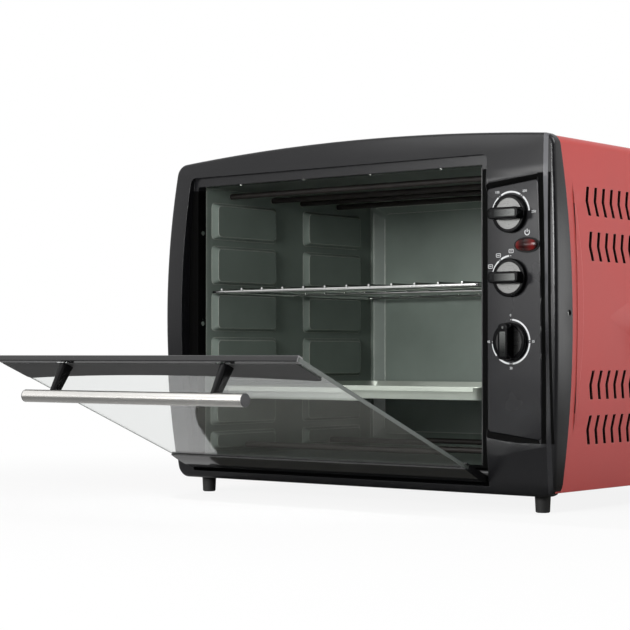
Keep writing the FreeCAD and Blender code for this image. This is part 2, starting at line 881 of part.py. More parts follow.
def make_side_wall(wall, inward, jamb):
    outside = wall - inward * sheet
    x0, x1 = min(wall, outside), max(wall, outside)
    pieces = [box(x0, x1, jamb_rear, cavity_rear + sheet, cavity_floor, jamb_top)]
    jamb_back = jamb - inward * jamb_wall
    flange = jamb_back - inward * sheet
    low, high = cavity_floor + jamb_wall, jamb_top - jamb_wall
    pieces.append(box(min(flange, wall), max(flange, wall), jamb_rear, jamb_rear + sheet, low, high))
    pieces.append(box(min(flange, jamb_back), max(flange, jamb_back), liner_flange_front, jamb_rear, low,
                      high))
    tools = []
    for columns in panel_columns:
        for rows in panel_rows:
            block = pressed_block(columns, rows, wall, inward)
            hollow = block.copy()
            hollow.translate(Vec(-inward * sheet, 0, 0))
            pieces.append(block)
            tools.append(hollow)
    body = cut(fuse(pieces), tools)
    holes = []
    reach = panel_raise + sheet * 3
    for y, z in rod_points():
        holes.append(rod(Vec(wall - reach, y, z), ALONG_X, rod_radius + touch_gap / 2, reach * 2))
    for height in jamb_screw_heights:
        holes.append(rod(Vec(min(flange, jamb_back) - sheet, jamb_screw_depth, height), ALONG_X,
                         jamb_screw_radius,
                         sheet * 3))
    if inward < 0:
        holes.append(capillary_hole(wall - reach, reach * 2))
    return cut(body, holes)


def make_back_wall():
    plate = box(jamb_left, cavity_right, cavity_rear, cavity_rear + sheet, cavity_floor, jamb_top)
    left = jamb_left + rear_recess_margin
    right = cavity_right - rear_recess_margin
    low = cavity_floor + rear_recess_low_margin
    high = jamb_top - rear_recess_top_margin
    outer = rounded_loop(rect_xz(left, right, low, high, cavity_rear + sheet), rear_recess_corner)
    inner = rounded_loop(rect_xz(left + rear_recess_run, right - rear_recess_run, low + rear_recess_run,
                                 high - rear_recess_depth, cavity_rear + sheet + rear_recess_depth),
                         rear_recess_corner)
    bulge = loft(outer, inner)
    hollow = bulge.copy()
    hollow.translate(Vec(0, -sheet, 0))
    return fuse([plate, bulge]).cut(hollow)


def make_roof():
    plate = box(jamb_left - sheet, cavity_right + sheet, jamb_rear, cavity_rear + sheet, jamb_top,
                jamb_top + sheet)
    left, right = jamb_left + jamb_wall, cavity_right - jamb_wall
    flange_low = jamb_top + jamb_wall
    web = box(left, right, jamb_rear, jamb_rear + sheet, jamb_top, flange_low + sheet)
    flange = box(left, right, liner_flange_front, jamb_rear + sheet, flange_low, flange_low + sheet)
    tools = []
    for place in roof_screw_places:
        tools.append(rod(Vec(place, jamb_screw_depth, flange_low - sheet), ALONG_Z, jamb_screw_radius,
                         sheet * 3))
    return cut(fuse([plate, web, flange]), tools)


def make_floor():
    return box(jamb_left - sheet, cavity_right + sheet, jamb_rear, cavity_rear + sheet,
               cavity_floor - sheet,
               cavity_floor)


def make_partition():
    rear = lip_front - touch_gap - sheet
    floor_top = pan_bottom + sheet
    plate = box(partition_place, partition_place + sheet, partition_front, rear, floor_top,
                cover_top - sheet - touch_gap)
    foot = box(partition_place, partition_place + pan_flange, partition_front, rear, floor_top,
               floor_top + sheet)
    return fuse([plate, foot]).cut(capillary_hole(partition_place - overrun, sheet + overrun * 2))


def rod_start():
    return jamb_left - rod_end_reach


def make_rods(places, height):
    rods = []
    length = cavity_right + rod_end_reach - rod_start()
    for y in places:
        tube = rod(Vec(rod_start(), y, height), ALONG_X, rod_radius, length)
        pin = rod(Vec(rod_start() - terminal_length, y, height), ALONG_X, terminal_radius,
                  length + terminal_length * 2)
        rods.append(fuse([tube, pin]))
    return group(rods)


def make_insulators():
    rings = []
    for y, z in rod_points():
        left = Vec(jamb_left - sheet - insulator_length, y, z)
        right = Vec(cavity_right + sheet, y, z)
        for start in (left, right):
            ring = rod(start, ALONG_X, insulator_radius, insulator_length)
            rings.append(ring.cut(rod(start, ALONG_X, rod_radius, insulator_length)))
    clear = box(jamb_left - frame_width, cavity_right + frame_width, 0, body_rear, jamb_top, frame_height)
    low = box(jamb_left - frame_width, cavity_right + frame_width, 0, body_rear, 0, cavity_floor - sheet)
    return group([ring.cut(clear).cut(low) for ring in rings])


def make_lamp_lens():
    dome = Part.makeSphere(lamp_half_width, Vec(0, 0, 0))
    matrix = FreeCAD.Matrix()
    matrix.scale(1, (lamp_proud + bezel_proud) / lamp_half_width, lamp_half_height / lamp_half_width)
    dome = dome.transformGeometry(matrix)
    seat = panel_face - bezel_proud + sheet
    dome.translate(Vec(lamp_place, seat, lamp_height))
    front_half = box(lamp_place - lamp_half_width, lamp_place + lamp_half_width,
                     panel_face - knob_radius, seat,
                     lamp_height - lamp_half_height, lamp_height + lamp_half_height)
    stem = ellipse_prism(-bezel_rim - touch_gap, seat, panel_seat)
    window = ellipse_prism(-bezel_rim, panel_face - knob_radius, panel_seat)
    return dome.common(front_half).common(window).fuse(stem)


def make_lamp_bezel():
    ring = ellipse_prism(0, panel_face - bezel_proud, panel_face)
    sleeve = ellipse_prism(-bezel_rim / 2, panel_face - bezel_proud, panel_seat)
    hole = ellipse_prism(-bezel_rim, panel_face - overrun, panel_seat + overrun)
    return fuse([ring, sleeve]).cut(hole)


def make_neon_lamp():
    radius = lamp_half_height / 2
    start = Vec(lamp_place, panel_seat, lamp_height)
    collar = rod(start, ALONG_Y, lamp_half_height - bezel_rim, neon_collar)
    return fuse([rod(start, ALONG_Y, radius, neon_length), collar])


def shaft_tip():
    return panel_seat + shaft_in_body


def shaft_start():
    return panel_face - knob_gap - shaft_in_knob


def control_body(size, height):
    wide, deep, tall = size
    body = box(knob_column - wide / 2, knob_column + wide / 2, panel_seat, panel_seat + deep,
               height - tall / 2, height + tall / 2)
    rear = panel_seat + deep
    tabs = []
    for side in (-1, 1):
        outer = height + side * (tall / 2 + sheet)
        inner = outer - side * control_tab_rise
        tabs.append(box(knob_column - control_tab_width / 2, knob_column + control_tab_width / 2,
                        rear - control_tab_seat, rear + control_tab_reach, min(inner, outer), max(inner,
                                                                                                  outer)))
    return finish_control(fuse([body] + tabs), height)


# Adds the threaded neck that stands through the panel, and bores it for the shaft
def finish_control(body, height):
    front = panel_face - nut_thick
    neck = rod(Vec(knob_column, front, height), ALONG_Y, shaft_bush_radius, panel_seat - front + sheet)
    bore = rod(Vec(knob_column, front - overrun, height), ALONG_Y, shaft_radius + running_gap,
               shaft_tip() - front + overrun + touch_gap)
    return fuse([body, neck]).cut(bore)


def make_timer():
    height = timer_height
    body = rod(Vec(knob_column, panel_seat, height), ALONG_Y, timer_radius, timer_depth)
    bell = rod(Vec(knob_column, panel_seat + timer_depth, height), ALONG_Y, bell_radius, bell_height)
    return finish_control(fuse([body, bell]), height)


def make_shaft_nuts():
    nuts = []
    for height in knob_heights.values():
        corners = []
        for index in range(6):
            turn = math.radians(60 * index)
            corners.append(Vec(knob_column + nut_radius * math.cos(turn), panel_face - nut_thick,
                               height + nut_radius * math.sin(turn)))
        nut = extrude(plain_loop(corners), Vec(0, nut_thick, 0))
        hole = rod(Vec(knob_column, panel_face - overrun, height), ALONG_Y, shaft_bush_radius, overrun * 2)
        nuts.append(nut.cut(hole))
    return group(nuts)


# One knob, made with its pointer at twelve o'clock and then turned to where it rests
def turned(shape, height, degrees):
    shape.rotate(Vec(knob_column, 0, height), ALONG_Y, degrees)
    return shape


def knob_bar(grow, y0, y1, height):
    corners = rect_xz(knob_column - knob_bar_width / 2 - grow, knob_column + knob_bar_width / 2 + grow,
                      height - knob_bar_length / 2 - grow, height + knob_bar_length / 2 + grow, y0)
    return extrude(rounded_loop(corners, knob_bar_round + grow), Vec(0, y1 - y0, 0))


def inlay_block(y0, y1, height):
    low = height - knob_bar_length / 2 + inlay_width
    corners = rect_xz(knob_column - inlay_width / 2, knob_column + inlay_width / 2, low - inlay_width / 2,
                      low + inlay_length - inlay_width / 2, y0)
    return extrude(rounded_loop(corners, knob_edge_round), Vec(0, y1 - y0, 0))


def make_knob(height, degrees):
    back = panel_face - knob_gap
    top = panel_face - knob_proud
    skirt = rod(Vec(knob_column, back, height), -ALONG_Y, knob_radius, knob_skirt)

    def rim(edge):
        return abs(edge.CenterOfMass.y - knob_front) < touch_gap and edge.Length > knob_radius * 2

    skirt = round_edges(skirt, knob_edge_round, rim)
    dish = rod(Vec(knob_column, knob_front - overrun, height), ALONG_Y, knob_face_radius,
               overrun + knob_face_recess + inlay_deep)
    bar = knob_bar(0, top, back - knob_bar_seat, height)

    def bar_top(edge):
        return abs(edge.CenterOfMass.y - top) < touch_gap / 3

    bar = round_edges(bar, knob_edge_round, bar_top)
    knob = fuse([skirt.cut(dish), bar])
    dot = rod(Vec(knob_column, top - overrun, height + knob_bar_length / 2 - knob_bar_round), ALONG_Y,
              pointer_dot_radius, overrun + inlay_deep)
    well = rod(Vec(knob_column, back + overrun, height), -ALONG_Y, knob_face_radius,
               overrun + knob_back_well)
    hub_back = panel_face - nut_thick - touch_gap
    hub = rod(Vec(knob_column, hub_back, height), -ALONG_Y, shaft_bush_radius, knob_skirt)
    socket = rod(Vec(knob_column, back + overrun, height), -ALONG_Y, shaft_radius, overrun + shaft_in_knob)
    knob = knob.cut(inlay_block(top - overrun, top + inlay_deep, height)).cut(dot).cut(well)
    knob = fuse([knob, hub]).cut(socket)
    return turned(knob, height, degrees)


def make_knob_face(height, degrees):
    start = knob_front + knob_face_recess
    disc = rod(Vec(knob_column, start, height), ALONG_Y, knob_face_radius, inlay_deep)
    disc = disc.cut(knob_bar(0, start - overrun, start + overrun, height))
    top = panel_face - knob_proud
    inlay = inlay_block(top, top + inlay_deep, height)
    dot = rod(Vec(knob_column, top + inlay_deep / 2, height + knob_bar_length / 2 - knob_bar_round),
              ALONG_Y,
              pointer_dot_radius, inlay_deep / 2)
    return turned(group(disc.Solids + [inlay, dot]), height, degrees)


def make_shaft(height, degrees):
    start = Vec(knob_column, shaft_start(), height)
    shaft = rod(start, ALONG_Y, shaft_radius, shaft_tip() - shaft_start())
    return turned(shaft, height, degrees)


def capillary_hole(start, length):
    return rod(Vec(start, bulb_front - capillary_turn, bulb_height), ALONG_X, capillary_radius + touch_gap,
               length)


def make_capillary(centre):
    turn = bulb_front - capillary_turn
    rear = panel_seat + thermostat_size[1]
    path = rounded_path([
        Vec(centre, bulb_front + sheet, bulb_height),
        Vec(centre, turn, bulb_height),
        Vec(knob_column, turn, bulb_height),
        Vec(knob_column, turn, temperature_height),
        Vec(knob_column, rear, temperature_height),
    ], capillary_bend)
    ring = Part.Wire(Part.makeCircle(capillary_radius, path.Edges[0].Vertexes[0].Point, ALONG_Y))
    return path.makePipeShell([ring], True, True)


def make_bulb():
    centre = cavity_right - bulb_stand
    start = Vec(centre, bulb_front, bulb_height)
    bulb = rod(start, ALONG_Y, bulb_radius, bulb_length)
    clips = [make_capillary(centre)]
    for share in clip_shares:
        y = bulb_front + bulb_length * share
        clips.append(box(centre, cavity_right, y - clip_width / 2, y + clip_width / 2,
                         bulb_height - sheet / 2, bulb_height + sheet / 2))
        clips.append(box(cavity_right - sheet, cavity_right, y - clip_width / 2, y + clip_width / 2,
                         bulb_height - clip_width, bulb_height + clip_width))
    return fuse([bulb] + clips)


def make_cord_gland():
    rear = Vec(gland_place, body_rear, gland_height)
    flange = rod(rear, ALONG_Y, gland_flange, gland_flange_thick)
    start = Vec(gland_place, body_rear + gland_proud - gland_length, gland_height)
    sleeve = rod(start, ALONG_Y, gland_sleeve, gland_length)
    bore = rod(start - ALONG_Y * overrun, ALONG_Y, gland_bore, gland_length + overrun * 2)
    return fuse([flange, sleeve]).cut(bore)


def make_terminal_block():
    wide, deep, tall = block_size
    rear = body_rear - gland_length - block_gap
    left = gland_place - wide / 2
    block = box(left, left + wide, rear - deep, rear, pan_bottom + sheet, pan_bottom + sheet + tall)
    way = wide / block_ways
    tools = []
    for index in range(block_ways):
        x = left + way * index + way / 2
        tools.append(rod(Vec(x, rear - deep / 2, pan_bottom + block_screw_rise), ALONG_Z, screw_radius,
                         tall))
        tools.append(rod(Vec(x, rear - deep - overrun, pan_bottom + tall / 2), ALONG_Y, screw_radius,
                         deep + overrun * 2))
    return cut(block, tools)


def make_foot(point):
    foot = Part.makeCone(foot_bottom_radius, foot_top_radius, foot_height, point - ALONG_Z * foot_height)

    def sole(edge):
        return edge.CenterOfMass.z < point.z - foot_height + touch_gap

    foot = foot.makeChamfer(foot_edge_bevel, [edge for edge in foot.Edges if sole(edge)])
    return foot.cut(rod(point - ALONG_Z * foot_screw_reach, ALONG_Z, screw_radius, foot_screw_reach))


def make_foot_screws():
    screws = []
    for point in foot_points().values():
        shank = rod(point - ALONG_Z * foot_screw_reach, ALONG_Z, screw_radius, foot_screw_reach + sheet)
        head = rod(point + ALONG_Z * sheet, ALONG_Z, screw_head_radius, screw_head_thick)
        screws.append(fuse([shank, head]))
    return group(screws)


def make_side_screws():
    screws = []
    for side in (-1, 1):
        seat = Vec(side * side_screw_seat, side_screw_place, side_screw_height)
        inner = cover_half - side_screw_grip
        shank = rod(Vec(side * inner, side_screw_place, side_screw_height), ALONG_X * side, screw_radius,
                    side_screw_seat - inner)
        head = rod(seat, ALONG_X * side, side_screw_head, screw_head_thick)
        slot_floor = seat.x + side * screw_head_thick / 2
        slot_end = slot_floor + side * overrun
        slot = box(min(slot_floor, slot_end), max(slot_floor, slot_end), side_screw_place - slot_width / 2,
                   side_screw_place + slot_width / 2, side_screw_height - side_screw_head,
                   side_screw_height + side_screw_head)
        screws.append(fuse([shank, head]).cut(slot))
    return group(screws)


def make_jamb_screws():
    screws = []
    for height in jamb_screw_heights:
        for inward, face in ((1, jamb_left), (-1, jamb_right)):
            point = Vec(face, jamb_screw_depth, height)
            shank = rod(point, ALONG_X * -inward, jamb_screw_radius, jamb_screw_grip)
            head = rod(point, ALONG_X * inward, jamb_screw_head, jamb_screw_proud)
            screws.append(fuse([shank, head]))
    for place in roof_screw_places:
        point = Vec(place, jamb_screw_depth, jamb_top)
        shank = rod(point, ALONG_Z, jamb_screw_radius, jamb_screw_grip)
        head = rod(point, -ALONG_Z, jamb_screw_head, jamb_screw_proud)
        screws.append(fuse([shank, head]))
    return group(screws)


def make_rear_screws():
    screws = []
    for x, z in rear_screw_points():
        face = Vec(x, body_rear, z)
        shank = rod(face, -ALONG_Y, rear_screw_radius, rear_screw_grip)
        head = rod(face, ALONG_Y, rear_screw_head, screw_head_thick)
        screws.append(fuse([shank, head]))
    return group(screws)


# Hinge bushes: short flanged sleeves in the end walls of the trough
def make_hinge_bush(side):
    wall = trough_left if side < 0 else recess_right
    start = Vec(wall, hinge_depth, hinge_height)
    sleeve = rod(start, ALONG_X * side, bush_outer, jamb_wall)
    flange = rod(start, ALONG_X * -side, bush_flange_radius, bush_flange_thick)
    bore = rod(start - ALONG_X * side * overrun, ALONG_X * side, hinge_pin_radius + running_gap,
               jamb_wall + overrun * 2)
    return fuse([sleeve, flange]).cut(bore)


# The door is built closed and then swung open about its hinge axis
def door_point(x, along, stand):
    return Vec(x, hinge_depth - stand, hinge_height + along)


def door_box(x0, x1, low, high, back, face):
    return box(x0, x1, hinge_depth - face, hinge_depth - back, hinge_height + low, hinge_height + high)


def swung(shape):
    shape.rotate(Vec(0, hinge_depth, hinge_height), ALONG_X, open_angle)
    return shape


def post_places():
    return {"left": handle_middle - post_spacing / 2, "right": handle_middle + post_spacing / 2}


def screw_tool(radius, back, reach):
    return [rod(door_point(x, post_base_along, back), -ALONG_Y, radius,
                reach) for x in post_places().values()]


def make_door_glass():
    low = rail_height - rail_groove + rail_groove_gap
    pane = door_box(glass_left, glass_right, low, door_height - touch_gap, glass_back, glass_face)

    def free_corner(edge):
        return runs_along(edge, ALONG_Y) and edge.CenterOfMass.z > hinge_height + door_height / 2

    pane = round_edges(pane, glass_corner, free_corner)
    return swung(cut(pane,
                     screw_tool(screw_radius + screw_hole_gap, glass_back - overrun,
                                glass_thick + overrun * 2)))


def make_door_top_band():
    left = glass_left + band_left_inset
    right = glass_right - band_right_inset
    middle = (left + right) / 2
    top = door_height - trim_deep
    wire = Part.Wire([
        Part.Arc(door_point(left, band_low_ends, glass_face),
                 door_point(middle, band_low_middle, glass_face),
                 door_point(right, band_low_ends, glass_face)).toShape(),
        Part.makeLine(door_point(right, band_low_ends, glass_face), door_point(right, top, glass_face)),
        Part.makeLine(door_point(right, top, glass_face), door_point(left, top, glass_face)),
        Part.makeLine(door_point(left, top, glass_face), door_point(left, band_low_ends, glass_face)),
    ])
    plate = extrude(wire, Vec(0, -band_thick, 0))

    def low_corner(edge):
        return runs_along(edge, ALONG_Y) and edge.CenterOfMass.z < hinge_height + top - overrun

    plate = round_edges(plate, band_corner, low_corner)
    return swung(cut(plate, screw_tool(screw_radius + screw_hole_gap, glass_back, glass_thick * 3)))


def make_door_top_trim():
    body = door_box(glass_left, glass_right, door_height - trim_deep, door_height + sheet, trim_back,
                    trim_face)

    def outer(edge):
        return runs_along(edge, ALONG_X) and edge.CenterOfMass.z > hinge_height + door_height

    body = round_edges(body, sheet, outer)
    slot = door_box(glass_left - overrun, glass_right + overrun, door_height - trim_deep - overrun,
                    door_height - touch_gap, glass_back, glass_face)
    body = body.cut(slot)
    notch_low = door_height - trim_deep - overrun
    notch_high = post_base_along + post_base_deep / 2 + touch_gap
    for x in post_places().values():
        body = body.cut(door_box(x - post_base_wide, x + post_base_wide, notch_low, notch_high, glass_face,
                                 trim_face + overrun))
    return swung(body)


def make_door_bottom_rail():
    start = door_left
    lip = door_point(start, rail_height, rail_lip)
    crown = door_point(start, rail_height / 2, rail_crown)
    front = door_point(start, 0, rail_nose)
    turn = math.radians(45)
    nose = door_point(start, -rail_nose * math.sin(turn), rail_nose * math.cos(turn))
    under = door_point(start, -rail_nose, 0)
    axis = door_point(start, 0, 0)
    inner = door_point(start, 0, rail_back)
    top = door_point(start, rail_height, rail_back)
    wire = Part.Wire([
        Part.Arc(lip, crown, front).toShape(),
        Part.Arc(front, nose, under).toShape(),
        Part.makeLine(under, axis),
        Part.makeLine(axis, inner),
        Part.makeLine(inner, top),
        Part.makeLine(top, lip),
    ])
    body = extrude(wire, Vec(door_right - door_left, 0, 0))
    barrel = rod(axis, ALONG_X, rail_barrel, door_right - door_left)
    groove = door_box(start - overrun, door_right + overrun, rail_height - rail_groove,
                      rail_height + overrun,
                      glass_back - rail_groove_gap, glass_face + rail_groove_gap)
    body = fuse([body, barrel]).cut(groove)
    for x, side in ((door_left, 1), (door_right, -1)):
        body = body.cut(rod(Vec(x, hinge_depth, hinge_height), ALONG_X * side, hinge_pin_radius,
                            hinge_pin_in_rail))
    return swung(body)


# A hinge pin is held in the rail and ends flush with the outside of the trough's end wall
def make_hinge_pin(side):
    rail_end, wall = (door_left, trough_wall_left) if side < 0 else (door_right, trough_wall_right)
    start = Vec(rail_end - side * hinge_pin_in_rail, hinge_depth, hinge_height)
    return rod(start, ALONG_X * side, hinge_pin_radius, abs(wall - start.x))


def handle_end(side):
    return door_point(handle_middle + side * handle_length / 2, handle_along, handle_stand)


def make_handle_tube():
    length = handle_length - handle_cap_thick * 2
    start = handle_end(-1) + ALONG_X * handle_cap_thick
    tube = rod(start, ALONG_X, handle_radius, length)
    return swung(tube.cut(rod(start, ALONG_X, handle_radius - handle_wall, length)))


def make_handle_cap(side):
    start = handle_end(side)
    cap = rod(start, ALONG_X * -side, handle_radius, handle_cap_thick)
    plug = rod(start, ALONG_X * -side, handle_radius - handle_wall, handle_cap_thick + handle_cap_plug)

    def rim(edge):
        return abs(edge.CenterOfMass.x - start.x) < touch_gap

    cap = round_edges(cap, handle_cap_thick / 2, rim)
    return swung(fuse([cap, plug]))


def make_handle_post(x):
    face = glass_face + band_thick

    def ring(along, deep, wide, stand, radius):
        corners = [door_point(x - wide / 2, along - deep / 2, stand),
                   door_point(x + wide / 2, along - deep / 2, stand),
                   door_point(x + wide / 2, along + deep / 2, stand), door_point(x - wide / 2,
                                                                                 along + deep / 2, stand)]
        return rounded_loop(corners, radius)

    post = loft(ring(post_base_along, post_base_deep, post_base_wide, face, post_base_round),
                ring(handle_along, post_top_deep, post_top_wide, handle_stand, post_top_round))
    tube = rod(door_point(x - handle_length, handle_along, handle_stand), ALONG_X, handle_radius,
               handle_length * 2)
    pilot = rod(door_point(x, post_base_along, face - overrun), -ALONG_Y, screw_radius,
                overrun + handle_screw_reach)
    return swung(post.cut(tube).cut(pilot))


def make_handle_screws():
    screws = []
    for x in post_places().values():
        start = door_point(x, post_base_along, glass_back)
        head = rod(start, ALONG_Y, screw_head_radius, screw_head_thick)
        shank = rod(start, -ALONG_Y, screw_radius, glass_thick + band_thick + handle_screw_reach)
        screws.append(fuse([head, shank]))
    return swung(group(screws))


# The rack: a closed frame of thick wire with thinner wires welded on top of it
def make_wire_rack():
    loop = rounded_loop(rect_xy(rack_left, rack_right, rack_front, rack_rear, rack_height), rack_corner)
    start = loop.Edges[1].Vertexes[0].Point
    ring = Part.Wire(Part.makeCircle(rack_rail_radius, start, ALONG_X))
    rails = [loop.makePipeShell([ring], True, True)]
    brace = Vec(rack_left, (rack_front + rack_rear) / 2, rack_height)
    rails.append(rod(brace, ALONG_X, rack_brace_radius, rack_right - rack_left))
    seat = rack_height + rack_rail_radius + rack_wire_seat
    pitch = (rack_right - rack_left - rack_wire_margin * 2) / (rack_wire_count - 1)
    for index in range(rack_wire_count):
        x = rack_left + rack_wire_margin + index * pitch
        rails.append(rod(Vec(x, rack_front - rack_wire_reach, seat), ALONG_Y, rack_wire_radius,
                         rack_rear - rack_front + rack_wire_reach * 2))
    return fuse(rails)


def make_baking_tray():
    left, right = tray_left, tray_right
    rim_top = tray_rim_bottom + sheet
    rim = extrude(rounded_loop(rect_xy(left, right, tray_front, tray_rear, tray_rim_bottom), tray_corner),
                  Vec(0, 0, sheet))

    def well(inset, top, bottom):
        upper = tray_rim_width + inset
        lower = upper + tray_draft
        return loft(
            rounded_loop(rect_xy(left + upper, right - upper, tray_front + upper, tray_rear - upper, top),
                         tray_corner),
            rounded_loop(rect_xy(left + lower, right - lower, tray_front + lower, tray_rear - lower,
                                 bottom),
                         tray_corner))

    outer = well(0, rim_top, rim_top - tray_depth)
    inner = well(sheet, rim_top + sheet, rim_top - tray_depth + sheet)
    lips = [box(left + tray_corner, right - tray_corner, start, start + sheet, rim_top - tray_lip_drop,
                rim_top)
            for start in (tray_front, tray_rear - sheet)]
    return fuse([rim, outer] + lips).cut(inner)


def build():
    nodes = {
        "front_frame": make_front_frame(),
        "control_panel": make_control_panel(),
        "outer_cover": make_outer_cover(),
        "rear_panel": make_rear_panel(),
        "base_pan": make_base_pan(),
        "liner_left_wall": make_side_wall(jamb_left, 1, jamb_left),
        "liner_right_wall": make_side_wall(cavity_right, -1, jamb_right),
        "liner_back_wall": make_back_wall(),
        "liner_roof": make_roof(),
        "liner_floor": make_floor(),
        "partition_wall": make_partition(),
        "top_heating_rods_front": make_rods(top_rod_places[:2], top_rod_height),
        "top_heating_rods_rear": make_rods(top_rod_places[2:], top_rod_height),
        "bottom_heating_rod_front": make_rods(bottom_rod_places[:1], bottom_rod_height),
        "bottom_heating_rod_rear": make_rods(bottom_rod_places[1:], bottom_rod_height),
        "rod_insulators": make_insulators(),
        "lamp_lens": make_lamp_lens(),
        "lamp_bezel": make_lamp_bezel(),
        "neon_lamp": make_neon_lamp(),
        "thermostat": control_body(thermostat_size, temperature_height),
        "mode_switch": control_body(switch_size, mode_height),
        "timer": make_timer(),
        "shaft_nuts": make_shaft_nuts(),
        "thermostat_bulb": make_bulb(),
        "cord_gland": make_cord_gland(),
        "terminal_block": make_terminal_block(),
        "foot_screws": make_foot_screws(),
        "frame_side_screws": make_side_screws(),
        "jamb_screws": make_jamb_screws(),
        "rear_screws": make_rear_screws(),
        "hinge_bush_left": make_hinge_bush(-1),
        "hinge_bush_right": make_hinge_bush(1),
        "door_glass": make_door_glass(),
        "door_top_band": make_door_top_band(),
        "door_top_trim": make_door_top_trim(),
        "door_bottom_rail": make_door_bottom_rail(),
        "handle_tube": make_handle_tube(),
        "handle_cap_left": make_handle_cap(-1),
        "handle_cap_right": make_handle_cap(1),
        "handle_screws": make_handle_screws(),
        "hinge_pin_left": make_hinge_pin(-1),
        "hinge_pin_right": make_hinge_pin(1),
        "wire_rack": make_wire_rack(),
        "baking_tray": make_baking_tray(),
    }
    for name, point in foot_points().items():
        nodes[name] = make_foot(point)
    for side, x in post_places().items():
        nodes["handle_post_" + side] = make_handle_post(x)
    turns = {"temperature": -90.0, "mode": -90.0, "timer": 0.0}
    for name, height in knob_heights.items():
        nodes["knob_" + name] = make_knob(height, turns[name])
        nodes["knob_face_" + name] = make_knob_face(height, turns[name])
        nodes["shaft_" + name] = make_shaft(height, turns[name])
    return nodes


# The part's origin: under the middle of everything, on the surface that the feet stand on
def origin_shift(nodes):
    whole = Part.makeCompound(list(nodes.values())).optimalBoundingBox(False)
    return Vec(-(whole.XMin + whole.XMax) / 2, -(whole.YMin + whole.YMax) / 2, foot_height - pan_bottom)


def main():
    os.makedirs("parts", exist_ok=True)
    nodes = build()
    shift = origin_shift(nodes)
    for name, shape in nodes.items():
        shape.translate(shift)
        shape.exportStep(os.path.join("parts", name + ".step"))
    print(len(nodes), "nodes, shifted by", shift)


if __name__ == "__main__":
    main()
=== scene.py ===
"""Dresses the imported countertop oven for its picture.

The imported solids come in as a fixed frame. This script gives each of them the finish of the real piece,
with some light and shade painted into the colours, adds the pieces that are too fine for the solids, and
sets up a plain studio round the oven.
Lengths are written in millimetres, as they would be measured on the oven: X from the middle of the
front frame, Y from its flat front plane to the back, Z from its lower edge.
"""

import json
import logging
import math
from dataclasses import asdict, dataclass, field
from enum import Enum

import bmesh
import bpy
from mathutils import Euler, Matrix, Vector

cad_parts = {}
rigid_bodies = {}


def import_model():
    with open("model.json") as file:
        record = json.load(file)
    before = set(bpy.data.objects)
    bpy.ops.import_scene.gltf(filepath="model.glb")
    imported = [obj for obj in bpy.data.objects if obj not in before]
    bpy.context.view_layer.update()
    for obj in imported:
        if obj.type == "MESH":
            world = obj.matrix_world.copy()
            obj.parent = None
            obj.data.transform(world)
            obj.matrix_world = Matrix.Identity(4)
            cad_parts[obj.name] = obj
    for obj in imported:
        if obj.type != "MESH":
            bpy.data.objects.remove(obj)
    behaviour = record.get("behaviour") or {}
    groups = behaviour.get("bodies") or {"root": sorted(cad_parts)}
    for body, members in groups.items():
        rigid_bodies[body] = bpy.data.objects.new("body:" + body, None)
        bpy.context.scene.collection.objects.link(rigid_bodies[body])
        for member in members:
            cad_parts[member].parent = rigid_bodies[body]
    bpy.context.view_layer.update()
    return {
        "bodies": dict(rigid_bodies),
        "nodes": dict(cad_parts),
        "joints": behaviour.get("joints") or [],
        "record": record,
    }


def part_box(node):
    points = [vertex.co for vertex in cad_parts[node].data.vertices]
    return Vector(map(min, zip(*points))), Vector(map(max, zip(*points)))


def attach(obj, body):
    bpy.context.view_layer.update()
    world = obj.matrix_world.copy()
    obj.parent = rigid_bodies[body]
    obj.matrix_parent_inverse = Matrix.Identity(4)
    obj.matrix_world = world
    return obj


LOG = logging.getLogger("oven")
# Short names for Blender's node socket and editable mesh
Socket = bpy.types.NodeSocket
Shape = bmesh.types.BMesh

MM = 0.001
# How far the frame's bowed face stands before its flat front plane
FACE_BULGE = 11.4
# The angle past which an edge stays sharp, in degrees
SHARP_EDGE = 30.0
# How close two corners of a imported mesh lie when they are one, in metres
WELD_GAP = 0.00001
# The range that most of a noise texture's values lie in
NOISE_LOW = 0.3
NOISE_HIGH = 0.7
# How thick the panel's print is, and how deep its back lies in the panel, in millimetres
INK_THICK = 0.12
INK_SUNK = 0.02
WHITE = (1.0, 1.0, 1.0, 1.0)


class Body(Enum):
    """The moving group that added pieces ride on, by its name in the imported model."""

    SHELL = "body"


class Slot(Enum):
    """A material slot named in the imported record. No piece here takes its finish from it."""

    PANEL = "panel_grey"


def linear(code: str) -> tuple[float, float, float, float]:
    """Turns an sRGB hex colour into the linear colour that a shader socket holds.

    Args:
        code: A hash and six hex digits.

    Returns:
        Linear red, green and blue with full alpha.
    """
    channels = [int(code[i : i + 2], 16) / 255 for i in (1, 3, 5)]
    return (*[c / 12.92 if c <= 0.04045 else ((c + 0.055) / 1.055) ** 2.4 for c in channels], 1.0)


def per_metre(size_mm: float) -> float:
    """Gives a texture scale at which one feature is about this many millimetres across."""
    return 1.0 / (size_mm * MM)


@dataclass(frozen=True)
class Datum:
    """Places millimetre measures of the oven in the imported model's frame, in metres."""

    depth: float
    height: float

    @classmethod
    def from_frame(cls, bulge: float) -> "Datum":
        """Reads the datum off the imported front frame.

        Args:
            bulge: How far the frame's face stands before its flat front plane, in millimetres.

        Returns:
            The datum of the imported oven.
        """
        low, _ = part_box("front_frame")
        return cls(low.y + bulge * MM, low.z)

    def point(self, x: float, y: float, z: float) -> Vector:
        """Turns a measured point into the model's frame."""
        return Vector((x * MM, self.depth + y * MM, self.height + z * MM))


